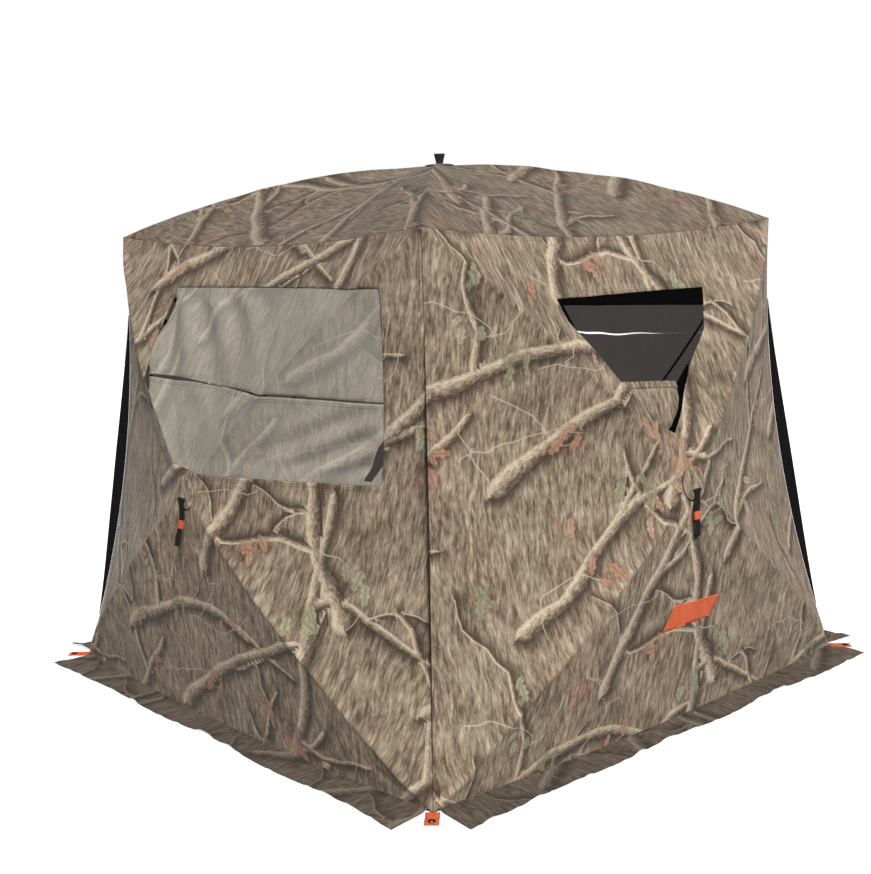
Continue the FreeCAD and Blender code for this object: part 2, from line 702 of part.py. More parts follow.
lapped = grown(mesh_window, sewn_border)
mesh_right = mesh_left + mesh_width
split_left = mesh_foot + mesh_split_rise + mesh_gap_fall / 2
split_right = split_left - mesh_gap_fall
past_left = mesh_left - 2 * sewn_border
past_right = mesh_right + 2 * sewn_border
upper_half = [(past_left, split_left + mesh_gap / 2), (past_left, eave_height),
              (past_right, eave_height), (past_right, split_right + mesh_gap / 2)]
lower_half = [(past_left, split_left - mesh_gap / 2), (past_left, 0),
              (past_right, 0), (past_right, split_right - mesh_gap / 2)]
panels = backing(behind, mesh_thickness, lapped)
upper_mesh = panels.common(prism_through_wall(upper_half))
lower_mesh = panels.common(prism_through_wall(lower_half))
write("left_mesh_upper", [turned(upper_mesh, 3)])
write("left_mesh_lower", [turned(lower_mesh, 3)])
write("right_mesh_panels", [turned(m.mirror(Vector(), Vector(1, 0, 0)), 1) for m in (upper_mesh, lower_mesh)])

door = wall_cloth.common(prism_through_wall(door_outline))
write("door_flap", [turned(door, 2)])

zip_sheet = wall.sheet(behind, behind + zip_thickness)
zip_band = zip_sheet.common(prism_through_wall(grown(door_outline, zip_width)))
zip_band = zip_band.cut(prism_through_wall(grown(door_outline, -zip_width / 2)))
sewn_side = [(s + hand * zip_from_hinge, z + rise) for hand, (s, z), rise in (
    (-1, door_hinge_foot, -zip_from_hinge), (1, door_hinge_foot, -zip_from_hinge),
    (1, door_hinge_head, zip_from_hinge), (-1, door_hinge_head, zip_from_hinge))]
zip_band = zip_band.cut(prism_through_wall(sewn_side))
write("door_zip", [turned(zip_band, 2)])


def surface_at(along, height):
    # the wall's outer face at a place given by its distance along and height
    line = Part.makeLine(on_front(along, 0.6 * floor_half, height), on_front(along, 1.3 * floor_half, height))
    hits = wall_cloth.common(line)
    return max((v.Point for v in hits.Vertexes), key=lambda p: -p.y)


def zip_direction():
    start, end = surface_at(*door_point), surface_at(*door_hinge_head)
    return (end - start).normalize()


def away_from_door(distance):
    # the cloth's outer face this far off the door's upper free edge, at the slider's place
    along, height = [mix(a, b, slider_share) for a, b in zip(door_point, door_hinge_head)]
    run, rise = [b - a for a, b in zip(door_point, door_hinge_head)]
    share = math.copysign(distance / math.hypot(run, rise), (door_hinge_foot[0] - door_point[0]) * rise
                          - (door_hinge_foot[1] - door_point[1]) * run)
    return surface_at(along - rise * share, height + run * share)


slider_way = zip_direction()
slider_base = away_from_door(slider_beside)
slider_across = away_from_door(slider_beside + slider_width / 2) - slider_base
slider_side = (slider_across - slider_way * slider_across.dot(slider_way)).normalize()
slider_up = slider_side.cross(slider_way)
slider_up = slider_up * math.copysign(1, slider_up.dot(wall_normal))


def slider_box(length, width, low, high):
    corner = slider_base - slider_way * (length / 2) - slider_side * (width / 2) + slider_up * low
    corners = [corner, corner + slider_way * length, corner + slider_way * length + slider_side * width,
               corner + slider_side * width]
    return Part.Face(Part.makePolygon(corners + corners[:1])).extrude(slider_up * (high - low))


slider_top = slider_foot + slider_height
slider = slider_box(slider_length, slider_width, slider_foot, slider_top)
bridge = slider_box(slider_length / 3, slider_width / 3, slider_top - 1, slider_top + 2.7)
puller = slider_box(puller_length, puller_width, slider_top + 2.2, slider_top + 4.7)
write("door_zip_slider", [turned(slider.fuse([bridge, puller]).removeSplitter(), 2)])

patch_foot = wall_hub_height - patch_below_hub - patch_height / 2
patch_left = patch_middle - (patch_width + patch_slant) / 2
slant = patch_slant / (patch_width + patch_slant)
patch_shares = [(0, -0.1), (1 - slant, 0), (1, 0.9), (slant, 1)]
patch_outline = scaled(patch_shares, (patch_left, patch_foot), patch_width + patch_slant, patch_height)
patch = wall.sheet(-clear - patch_thickness, -clear).common(prism_through_wall(patch_outline))
write("front_patch", [patch])
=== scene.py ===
import json
import math
from functools import partial

import bpy
import numpy as np
from mathutils import Matrix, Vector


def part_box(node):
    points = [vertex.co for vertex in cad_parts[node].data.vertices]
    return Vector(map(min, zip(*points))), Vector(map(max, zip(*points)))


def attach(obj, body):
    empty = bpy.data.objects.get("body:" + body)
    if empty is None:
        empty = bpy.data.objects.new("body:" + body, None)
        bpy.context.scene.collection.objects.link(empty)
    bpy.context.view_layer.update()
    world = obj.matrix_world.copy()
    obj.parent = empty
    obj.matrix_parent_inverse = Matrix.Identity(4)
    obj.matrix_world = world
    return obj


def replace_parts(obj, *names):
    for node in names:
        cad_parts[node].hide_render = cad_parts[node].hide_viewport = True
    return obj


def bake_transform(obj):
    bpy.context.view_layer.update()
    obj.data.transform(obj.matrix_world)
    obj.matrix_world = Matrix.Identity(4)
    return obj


# A pop-up ground blind. The rods, hubs, sockets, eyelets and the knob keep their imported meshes.
# Every piece of cloth and webbing is a surface worked out here, in metres, in the same frame.

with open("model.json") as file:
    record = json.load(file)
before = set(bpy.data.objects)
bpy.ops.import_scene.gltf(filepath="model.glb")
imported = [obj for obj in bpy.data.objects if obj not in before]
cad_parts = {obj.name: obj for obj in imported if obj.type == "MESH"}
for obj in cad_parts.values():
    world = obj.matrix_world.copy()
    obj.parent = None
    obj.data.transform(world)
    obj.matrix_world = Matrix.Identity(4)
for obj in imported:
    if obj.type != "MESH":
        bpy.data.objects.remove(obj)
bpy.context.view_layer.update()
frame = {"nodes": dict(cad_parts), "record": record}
print("frame loaded")


# small tools

def linear(hexColour, alpha=1.0):
    # sRGB hex to the linear colour that a node takes
    parts = [int(hexColour[i:i + 2], 16) / 255 for i in (0, 2, 4)]
    return tuple(p / 12.92 if p <= 0.04045 else ((p + 0.055) / 1.055) ** 2.4 for p in parts) + (alpha,)


def setInputs(node, inputs):
    # inputs in order, or by name or number; each is a value, or a socket to link from
    for key, value in inputs.items() if isinstance(inputs, dict) else enumerate(inputs):
        if isinstance(value, bpy.types.NodeSocket):
            node.id_data.links.new(value, node.inputs[key])
        else:
            node.inputs[key].default_value = value


def addNode(tree, kind, inputs=(), out=0, stops=(), **settings):
    # a node with its settings, its links and a ramp's stops (place, colour); gives one of its outputs
    node = tree.nodes.new("ShaderNode" + kind)
    for key, value in settings.items():
        setattr(node, key, value)
    setInputs(node, inputs)
    while stops and len(node.color_ramp.elements) < len(stops):
        node.color_ramp.elements.new(1.0)
    for element, (place, colour) in zip(node.color_ramp.elements if stops else (), stops):
        element.position = place
        element.color = linear(colour) if isinstance(colour, str) else colour
    return node.outputs[out]


def makePiece(name, points, faces, materials, faceMaterial=None, floats=None, vectors=None, smooth=True):
    # a mesh object from arrays; faces are triangles or quads, all with the same number of corners
    faces = np.asarray(faces, np.int32)
    corners = faces.shape[1]
    mesh = bpy.data.meshes.new(name)
    mesh.vertices.add(len(points))
    mesh.vertices.foreach_set("co", np.asarray(points, np.float32).ravel())
    mesh.loops.add(faces.size)
    mesh.loops.foreach_set("vertex_index", faces.ravel())
    mesh.polygons.add(len(faces))
    mesh.polygons.foreach_set("loop_start", np.arange(0, faces.size, corners, dtype=np.int32))
    mesh.polygons.foreach_set("loop_total", np.full(len(faces), corners, np.int32))
    mesh.polygons.foreach_set("use_smooth", np.full(len(faces), smooth))
    for material in materials:
        mesh.materials.append(material)
    if faceMaterial is not None:
        mesh.polygons.foreach_set("material_index", np.asarray(faceMaterial, np.int32))
    for key, value in (floats or {}).items():
        mesh.attributes.new(key, "FLOAT", "POINT").data.foreach_set("value", np.asarray(value, np.float32))
    for key, value in (vectors or {}).items():
        layer = mesh.attributes.new(key, "FLOAT_VECTOR", "POINT")
        layer.data.foreach_set("vector", np.asarray(value, np.float32).ravel())
    mesh.update()
    mesh.validate()
    piece = bpy.data.objects.new(name, mesh)
    bpy.context.scene.collection.objects.link(piece)
    return piece


def unit(vectors):
    return vectors / np.maximum(np.linalg.norm(vectors, axis=-1, keepdims=True), 1e-12)


def turned(points, quarters):
    # turned about Z by quarter turns: the front wall's place to another wall's
    c, s = [(1, 0), (0, 1), (-1, 0), (0, -1)][quarters % 4]
    return points @ np.array([[c, s, 0], [-s, c, 0], [0, 0, 1.0]])


def hump(share):
    # 0 at both ends and 1 in the middle
    return 4 * share * (1 - share)


def smooth01(low, high, value):
    t = np.clip((value - low) / (high - low), 0, 1)
    return t * t * (3 - 2 * t)


# the blind's shape

_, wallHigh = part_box("wall_front")
_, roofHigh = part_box("roof_canopy")

blind = {
    "floorHalf": wallHigh.x,        # middle of the floor to a wall at a floor corner
    "eaveHalf": roofHigh.x,
    "eaveHeight": wallHigh.z,
    "apexHeight": roofHigh.z,
    "hubOut": wallHigh.x + 0.126,   # middle of the floor to the cloth at a wall hub
    "hubHeight": wallHigh.z / 2 - 0.0085,
    "seamPull": 0.080,              # how far a corner seam is drawn in at its middle
    "eaveSag": 0.045,
    "eavePull": 0.020,
    "hemBulge": 0.045,
    "wallBow": 0.045,               # rise of a rod's arc over its chord
    "roofBow": 0.052,
    "facetDip": 0.025,              # how far the cloth between two rods lies below them
    "clampRing": 0.054,             # corner of the flat square under the hub's cap
    "ringShare": 0.045,             # the same square in the grid's own measure
    "socketInset": 0.024,
}
wallLean = math.atan2(blind["floorHalf"] - blind["eaveHalf"], blind["eaveHeight"] - 2 * blind["socketInset"])


def panelOf(centre, normal, corners, pulls, bow):
    centre, normal, corners = np.array(centre), np.array(normal), np.array(corners)
    ways = corners - centre
    toward = unit(ways - (ways @ normal)[:, None] * normal)
    return {"centre": centre, "normal": normal, "corners": corners, "pulls": np.array(pulls),
            "bow": bow, "toward": toward}


def wallPanel():
    f, e, h = blind["floorHalf"], blind["eaveHalf"], blind["eaveHeight"]
    d = blind["seamPull"] * math.sqrt(0.5)
    return panelOf(
        (0, -blind["hubOut"], blind["hubHeight"]), (0, -math.cos(wallLean), math.sin(wallLean)),
        [(-f, -f, 0), (f, -f, 0), (e, -e, h), (-e, -e, h)],
        [(0, -blind["hemBulge"], 0), (-d, d, 0), (0, blind["eavePull"], -blind["eaveSag"]), (d, d, 0)],
        blind["wallBow"])


def roofPanel():
    e, h, p, s = blind["eaveHalf"], blind["eaveHeight"], blind["eavePull"], blind["eaveSag"]
    return panelOf(
        (0, 0, blind["apexHeight"]), (0, 0, 1), [(-e, -e, h), (e, -e, h), (e, e, h), (-e, e, h)],
        [(0, p, -s), (-p, 0, -s), (0, -p, -s), (p, 0, -s)], blind["roofBow"])


def gridPlace(a, b):
    # which facet a grid place lies in, its share from rod to rod, and from the hub to the edge
    reach = np.maximum(np.abs(a), np.abs(b))
    safe = np.maximum(reach, 1e-9)
    facet = np.where(np.abs(b) >= np.abs(a), np.where(b < 0, 0, 2), np.where(a > 0, 1, 3))
    p, q = a / safe, b / safe
    across = np.choose(facet, [(p + 1) / 2, (q + 1) / 2, (1 - p) / 2, (1 - q) / 2])
    share = blind["ringShare"]
    return facet, across, np.clip((reach - share) / (1 - share), 0, 1), np.clip(reach / share, 0, 1)


def plainPlace(panel, a, b):
    # outer face without folds: a straight mix of the clamped square and the drawn edge,
    # plus the rods' bow, less the dip between two rods
    facet, across, out, inner = gridPlace(a, b)
    t, o = across[:, None], out[:, None]
    ring = (1 - t) * panel["toward"][facet] + t * panel["toward"][(facet + 1) % 4]
    ring = panel["centre"] + ring * (blind["clampRing"] * inner[:, None])
    edge = (1 - t) * panel["corners"][facet] + t * panel["corners"][(facet + 1) % 4]
    edge = edge + panel["pulls"][facet] * hump(t)
    bulge = hump(out) * (panel["bow"] - blind["facetDip"] * hump(across))
    return ring * (1 - o) + edge * o + panel["normal"] * bulge[:, None]


folds = {
    "drift": 0.0030, "driftLength": 0.42,           # long slack waves in the cloth
    "smallShare": 0.4, "smallLength": 0.16,         # and shorter ones, a share as high
    "rodRidge": 0.0030, "rodRidgeWidth": 0.011,     # the cloth stands up over a rod
    "cornerFold": 0.0055, "cornerReach": 0.20,      # folds that run out of the corners
    "cornerFans": (15, 27),                         # how closely they stand, in waves per radian
    "hubFold": 0.0022, "hubReach": 0.22,            # folds that run out of the hub
    "hubFans": (11, 19),
    "seamPucker": 0.0016, "puckerPitch": 0.061, "puckerReach": 0.055,
    "hemRipple": 0.0050, "rippleLength": 0.20, "rippleReach": 0.10,
}


def waves(x, y, wavelength, count, seed, heading=None, spread=math.pi):
    # sum of plane waves with seeded headings and phases
    random = np.random.default_rng(seed)
    total = np.zeros_like(x)
    for _ in range(count):
        angle = random.uniform(-spread, spread) + (heading or 0.0)
        length = wavelength * random.uniform(0.7, 1.4)
        phase = random.uniform(0, 2 * math.pi)
        total += np.sin(2 * math.pi * (x * math.cos(angle) + y * math.sin(angle)) / length + phase)
    return total / math.sqrt(count)


def foldHeight(panel, a, b, place, seed, isRoof):
    # how far the folds lift the cloth: slack waves, rod ridges, corner and hub folds,
    # puckers beside the seams and ripples above the hem
    facet, across, out, _ = gridPlace(a, b)
    x, y = place[:, 0], place[:, 1] if isRoof else place[:, 2]
    edge = 1 - smooth01(0.90, 1.0, out)
    height = folds["drift"] * waves(x, y, folds["driftLength"], 7, seed) * hump(out) ** 0.5
    small = waves(x, y, folds["smallLength"], 7, seed + 1)
    height += folds["smallShare"] * folds["drift"] * small * np.sqrt(hump(out))
    width = 0.9 * np.maximum(out, 0.02)
    fromRod = np.minimum(across, 1 - across) * width * 1.8
    height += folds["rodRidge"] * np.exp(-(fromRod / folds["rodRidgeWidth"]) ** 2) * smooth01(0.03, 0.12, out)
    for c, corner in enumerate(panel["corners"]):
        offset = place - corner
        away = np.linalg.norm(offset, axis=1)
        inward = panel["centre"] - corner
        side = np.cross(panel["normal"], inward)
        angle = np.arctan2(offset @ side / np.linalg.norm(side), offset @ unit(inward))
        wide, close = folds["cornerFans"]
        fan = np.sin(angle * wide + seed + c) + 0.6 * np.sin(angle * close + 2.3 * c + seed)
        fading = np.exp(-away / folds["cornerReach"])
        height += folds["cornerFold"] * fan * fading * smooth01(0.02, 0.16, away) * 0.8
    offset = place - panel["centre"]
    away = np.linalg.norm(offset, axis=1)
    angle = np.arctan2(b, a)
    wide, close = folds["hubFans"]
    fan = np.sin(angle * wide + seed) + 0.7 * np.sin(angle * close + 1.7 * seed)
    height += folds["hubFold"] * fan * np.exp(-away / folds["hubReach"]) * smooth01(0.05, 0.16, away)
    along = place[:, 0] + place[:, 1] if isRoof else np.where((facet == 0) | (facet == 2), x, y)
    pucker = np.sin(2 * math.pi * along / folds["puckerPitch"] + 3 * waves(x, y, 0.5, 3, seed + 2))
    height += folds["seamPucker"] * pucker * np.exp(-(1 - out) / folds["puckerReach"])
    if not isRoof:
        ripple = waves(x, y * 0.25, folds["rippleLength"], 5, seed + 3, heading=0.0, spread=0.35)
        height += folds["hemRipple"] * ripple * np.exp(-(1 - out) / folds["rippleReach"]) * (facet == 0)
    return height * edge


def clothPlace(panel, a, b, seed, isRoof=False, lift=0.0):
    # outer face with its folds, lifted along the cloth's own normal; returns points and normals
    step = 0.002
    here = plainPlace(panel, a, b)
    alongA = plainPlace(panel, a + step, b) - plainPlace(panel, a - step, b)
    alongB = plainPlace(panel, a, b + step) - plainPlace(panel, a, b - step)
    normals = unit(np.cross(alongA, alongB))
    height = foldHeight(panel, a, b, here, seed, isRoof) + lift
    return here + normals * height[:, None], normals


def findPlace(panel, s, z, a=None, b=None):
    # the grid place of a point given by its distance along the front wall and its height,
    # by Newton's method on the plain surface
    a = s / blind["floorHalf"] if a is None else a.copy()
    b = z / blind["eaveHeight"] * 2 - 1 if b is None else b.copy()
    step = 1e-4
    for _ in range(14):
        p = plainPlace(panel, a, b)
        pa = (plainPlace(panel, a + step, b) - p) / step
        pb = (plainPlace(panel, a, b + step) - p) / step
        ds, dz = s - p[:, 0], z - p[:, 2]
        det = pa[:, 0] * pb[:, 2] - pb[:, 0] * pa[:, 2]
        det = np.where(np.abs(det) < 1e-9, 1e-9, det)
        a = a + np.clip((ds * pb[:, 2] - dz * pb[:, 0]) / det, -0.1, 0.1)
        b = b + np.clip((pa[:, 0] * dz - pa[:, 2] * ds) / det, -0.1, 0.1)
    return a, b


def gridOf(count):
    # square grid of triangles whose diagonals run out from the hub, so a rod lies on an edge
    line = np.linspace(-1, 1, count + 1)
    a, b = [m.ravel() for m in np.meshgrid(line, line)]
    i, j = [m.ravel() for m in np.meshgrid(np.arange(count), np.arange(count))]
    p = j * (count + 1) + i
    q, r, s = p + 1, p + count + 2, p + count + 1
    same = (i < count / 2) == (j < count / 2)
    first = np.where(same[:, None], np.stack([p, q, r], 1), np.stack([p, q, s], 1))
    second = np.where(same[:, None], np.stack([p, r, s], 1), np.stack([q, r, s], 1))
    return a, b, np.concatenate([first, second])


def outlineDistance(s, z, outline):
    # signed distance to a closed outline, negative inside, and the nearest point on it
    points = np.array(outline)
    best = np.full(s.shape, np.inf)
    nearS, nearZ = np.zeros_like(s), np.zeros_like(z)
    inside = np.zeros(s.shape, bool)
    for (s0, z0), (s1, z1) in zip(points, np.roll(points, -1, axis=0)):
        ds, dz = s1 - s0, z1 - z0
        t = np.clip(((s - s0) * ds + (z - z0) * dz) / (ds * ds + dz * dz), 0, 1)
        ps, pz = s0 + t * ds, z0 + t * dz
        distance = np.hypot(s - ps, z - pz)
        better = distance < best
        best = np.where(better, distance, best)
        nearS, nearZ = np.where(better, ps, nearS), np.where(better, pz, nearZ)
        if z0 != z1:
            crosses = ((z0 > z) != (z1 > z)) & (s < (s1 - s0) * (z - z0) / (z1 - z0) + s0)
            inside ^= crosses
    return np.where(inside, -best, best), nearS, nearZ


def edgesOf(faces):
    # every directed edge that has no partner: the border of a sheet
    ends = np.concatenate([faces[:, [i, (i + 1) % faces.shape[1]]] for i in range(faces.shape[1])])
    keys = np.sort(ends, axis=1)
    _, index, counts = np.unique(keys, axis=0, return_index=True, return_counts=True)
    return ends[index[counts == 1]]


def cutGrid(panel, a, b, faces, outline):
    # keeps the triangles outside an outline and draws the new border onto it
    place = plainPlace(panel, a, b)
    centre = place[faces].mean(1)
    distance, _, _ = outlineDistance(centre[:, 0], centre[:, 2], outline)
    border = set(map(tuple, np.sort(edgesOf(faces), axis=1).tolist()))
    kept = faces[distance >= 0]
    new = np.array([e for e in edgesOf(kept).tolist() if tuple(sorted(e)) not in border])
    rim = np.unique(new)
    _, s, z = outlineDistance(place[rim, 0], place[rim, 2], outline)
    for corner in outline:
        nearest = np.argmin(np.hypot(place[rim, 0] - corner[0], place[rim, 2] - corner[1]))
        s[nearest], z[nearest] = corner
    a, b = a.copy(), b.copy()
    a[rim], b[rim] = findPlace(panel, s, z, a[rim], b[rim])
    return a, b, kept


def usedOnly(a, b, faces):
    used, index = np.unique(faces, return_inverse=True)
    return a[used], b[used], index.reshape(faces.shape)


def gridTriangles(across, along):
    # two triangles for each cell of a grid with this many points each way
    i, j = [m.ravel() for m in np.meshgrid(np.arange(across - 1), np.arange(along - 1))]
    p = j * across + i
    return np.concatenate([np.stack([p, p + 1, p + across + 1], 1),
                           np.stack([p, p + across + 1, p + across], 1)])


def facing(points, faces, normals):
    # the faces, turned over where most of them look against the normals
    sided = np.cross(points[faces[:, 1]] - points[faces[:, 0]], points[faces[:, 2]] - points[faces[:, 0]])
    return faces[:, ::-1] if (sided * normals[faces[:, 0]]).sum() < 0 else faces


def makeSkin(name, points, normals, faces, thickness, materials, quarters=0, printAt=None, edgeAway=None):
    # closed skin from a sheet's outer face, turned to its wall: the outer layer, the inner layer and the
    # rim between them; the first material is outside and the last one inside
    count = len(points)
    rim = edgesOf(faces)
    sides = np.concatenate([
        np.stack([rim[:, 0], rim[:, 0] + count, rim[:, 1] + count], 1),
        np.stack([rim[:, 0], rim[:, 1] + count, rim[:, 1]], 1)])
    allFaces = np.concatenate([faces, faces[:, ::-1] + count, sides])
    kind = np.zeros(len(allFaces))
    kind[len(faces):2 * len(faces)] = len(materials) - 1
    floats, vectors = printOf(*printAt) if printAt else ({}, {})
    if edgeAway is not None:
        floats["edgeAway"] = edgeAway
    layers = np.concatenate([points, points - normals * thickness])
    return makePiece(
        name, turned(layers, quarters), allFaces, materials, kind,
        {key: np.tile(value, 2) for key, value in floats.items()},
        {key: np.tile(value, (2, 1)) for key, value in vectors.items()})


# the printed pattern

printSpec = {
    "width": 1.42, "height": 1.18,      # the pattern repeats at this size, in metres
    "limbs": 7, "limbRadius": 0.029,
    "boughs": 10, "boughRadius": 0.014,
    "shoots": 14, "shootRadius": 0.0060,
    "twigs": 14, "twigRadius": 0.0020,
    "clusters": 22, "leafLength": 0.060,
    "seed": 41,
}


def growStroke(random, start, heading, length, wander, radius, taper, steps):
    # a bent stroke as segments: (start, end, radius at each, length run so far)
    turns = heading + np.cumsum(random.normal(0, wander, steps))
    ways = np.column_stack([np.cos(turns), np.sin(turns)]) * (length / steps)
    path = np.vstack([start, start + np.cumsum(ways, axis=0)])
    radii = radius * np.linspace(1, taper, steps + 1) * random.uniform(0.78, 1.25, steps + 1)
    run = np.linspace(0, length, steps + 1)
    return [(*path[k], *path[k + 1], radii[k], radii[k + 1], run[k]) for k in range(steps)], path


def growPrint():
    # a generic woodland print: limbs that lean, boughs and shoots that fork off them,
    # thin twigs, and clusters of hanging leaves
    random = np.random.default_rng(printSpec["seed"])
    size = np.array([printSpec["width"], printSpec["height"]])
    strokes, twigs, leaves, forks = [], [], [], []
    for k in range(printSpec["limbs"]):
        start = size * ((np.array([0.13, 0.10]) + k * np.array([0.40, 0.27])) % 1.0)
        heading = random.choice([0.95, 0.75, 0.85, 2.25, 0.60]) + random.normal(0, 0.1)
        segments, path = growStroke(random, start, heading, random.uniform(0.65, 1.00), 0.15,
                                    printSpec["limbRadius"] * random.uniform(0.7, 1.1), 0.5, 12)
        strokes += segments
        forks += [(path[i], heading) for i in (2, 4, 6, 8, 10)]
    for k in range(printSpec["boughs"]):
        start, heading = forks[(k * 3 + 1) % len(forks)]
        turn = random.choice([-1, 1]) * random.uniform(0.5, 1.0)
        segments, path = growStroke(random, start, heading + turn, random.uniform(0.28, 0.50), 0.20,
                                    printSpec["boughRadius"], 0.45, 8)
        strokes += segments
        forks += [(path[i], heading + turn) for i in (3, 6, 8)]
    for k in range(printSpec["shoots"]):
        start, heading = forks[(k * 5 + 2) % len(forks)]
        turn = random.choice([-1, 1]) * random.uniform(0.4, 1.1)
        segments, _ = growStroke(random, start, heading + turn, random.uniform(0.14, 0.30), 0.26,
                                 printSpec["shootRadius"], 0.4, 6)
        strokes += segments
    for k in range(printSpec["twigs"]):
        start = size * random.random(2)
        heading = random.choice([0.05, 0.25, -0.2, 3.0]) + random.normal(0, 0.2)
        segments, _ = growStroke(random, start, heading, random.uniform(0.22, 0.42), 0.42,
                                 printSpec["twigRadius"], 0.6, 9)
        twigs += segments
    for k in range(printSpec["clusters"]):
        start = forks[(k * 7 + 3) % len(forks)][0] if k % 3 else size * random.random(2)
        tint = random.choice([0.10, 0.22, 0.70, 0.85, 0.95])
        for _ in range(random.integers(3, 6)):
            heading = -math.pi / 2 + random.normal(0, 0.55)
            length = printSpec["leafLength"] * random.uniform(0.65, 1.3)
            spot = start + random.normal(0, 0.030, 2)
            leaves.append((*spot, heading, length, length * random.uniform(0.20, 0.30),
                           np.clip(tint + random.normal(0, 0.12), 0, 1)))
    return strokes, twigs, leaves


strokes, twigs, leaves = growPrint()


def wrapped(value, size):
    return (value + size / 2) % size - size / 2


def nearestStroke(u, v, segments):
    # signed share across the nearest stroke (1 at its outline), the gap to it, and the run along it
    gap, side, run = np.full(u.shape, 9.0), np.full(u.shape, 9.0), np.zeros_like(u)
    for u0, v0, u1, v1, r0, r1, run0 in segments:
        du, dv = u1 - u0, v1 - v0
        length = math.hypot(du, dv)
        x, y = wrapped(u - u0, printSpec["width"]), wrapped(v - v0, printSpec["height"])
        t = np.clip((x * du + y * dv) / length ** 2, 0, 1)
        away = np.hypot(x - t * du, y - t * dv)
        radius = r0 + (r1 - r0) * t
        better = away - radius < gap
        gap = np.where(better, away - radius, gap)
        side = np.where(better, np.where(x * dv - y * du > 0, 1, -1) * away / radius, side)
        run = np.where(better, run0 + t * length, run)
    return np.clip(side, -9, 9), np.clip(gap, -1, 0.2), run


def nearestLeaf(u, v):
    # lobed leaf: half width is a sine hump times a cosine for the lobes; negative inside
    edge, side, tint = np.full(u.shape, 0.05), np.zeros_like(u), np.zeros_like(u)
    for u0, v0, heading, length, width, colour in leaves:
        x, y = wrapped(u - u0, printSpec["width"]), wrapped(v - v0, printSpec["height"])
        along = (x * math.cos(heading) + y * math.sin(heading)) / length
        across = y * math.cos(heading) - x * math.sin(heading)
        inside = np.clip(along, 0, 1)
        half = width * np.sin(math.pi * inside) ** 0.7 * (0.74 + 0.26 * np.cos(7 * math.pi * inside))
        past = np.maximum(np.maximum(-along, along - 1), 0) * length
        value = np.hypot(np.maximum(np.abs(across) - half, 0), past)
        value = np.where((past == 0) & (np.abs(across) < half), np.abs(across) - half, value)
        better = value < edge
        edge = np.where(better, value, edge)
        side = np.where(better, across / width, side)
        tint = np.where(better, colour, tint)
    return edge, side, tint


def printOf(u, v):
    # everything the cloth's material needs to draw the print at a place on the cloth
    limbSide, limbGap, limbRun = nearestStroke(u, v, strokes)
    twigSide, twigGap, _ = nearestStroke(u, v, twigs)
    leafEdge, leafSide, leafTint = nearestLeaf(u, v)
    floats = {"limbSide": limbSide, "limbGap": limbGap, "limbRun": limbRun, "twigSide": twigSide,
              "twigGap": twigGap, "leafEdge": leafEdge, "leafSide": leafSide, "leafTint": leafTint}
    return floats, {"printPlace": np.column_stack([u, v, np.zeros_like(u)])}


# materials

clothFinish = {
    "bark": [(0.35, "605245"), (0.43, "7c6c5d"), (0.50, "928270"), (0.58, "a89985"), (0.68, "c2b5a1")],
    "hue": [(0.36, "8f8f78"), (0.50, "948a7d"), (0.64, "a38879")],
    "limb": [(0.0, "b7aa95"), (0.22, "ddd2bf"), (0.46, "b5a692"), (0.68, "78685a"), (1.0, "332920")],
    "leaf": [(0.0, "979a7c"), (0.28, "b8b79b"), (0.48, "cdbda6"), (0.70, "ccae98"), (1.0, "bd937a")],
    # seam: painted shade in the fold at the edge, then two rows of stitches
    "seam": [(0.0, "8a8a8a"), (0.07, "ffffff"), (0.24, "ffffff"), (0.27, "9a9a9a"), (0.31, "ffffff"),
             (0.47, "ffffff"), (0.50, "a8a8a8"), (0.54, "ffffff")],
    "shadow": "352b23",
    "twig": "c4b6a2",
    "rib": "6e513b",
    "broadStreaks": (64, 13),   # across and along, per metre
    "fineStreaks": (160, 30),
    "streakLean": 0.08,         # radians, the streaks tilt a little to the right
    "seamWidth": 0.030,
}
colourMix = {"out": 2, "data_type": "RGBA"}     # a Mix node takes colours at 6 and 7 and gives one at 2


def newMaterial(name):
    # a material, its shader and the function that adds a node beside it
    material = bpy.data.materials.new(name)
    material.use_nodes = True
    tree = material.node_tree
    return material, tree.nodes["Principled BSDF"], partial(addNode, tree)


def uneven(add, place, perMetre, detail=3.0, roughness=0.6, turn=0.0, flat=True):
    # unevenness that repeats this often per metre along x and y, the whole pattern turned
    lean = add("Mapping", {"Vector": place, "Rotation": (0, 0, turn)})
    sized = add("Mapping", {"Vector": lean, "Scale": (*perMetre, 1)})
    return add("TexNoise", {"Vector": sized, "Scale": 1.0, "Detail": detail, "Roughness": roughness}, "Fac",
               noise_dimensions="2D" if flat else "3D")


def finishSurface(add, shader, colour, roughness, height, strength, depth, others=None):
    # the shader's colour and roughness, and its relief with a depth in metres
    relief = add("Bump", {"Strength": strength, "Distance": depth, "Height": height})
    setInputs(shader, {"Base Color": colour, "Roughness": roughness, **(others or {}), "Normal": relief})


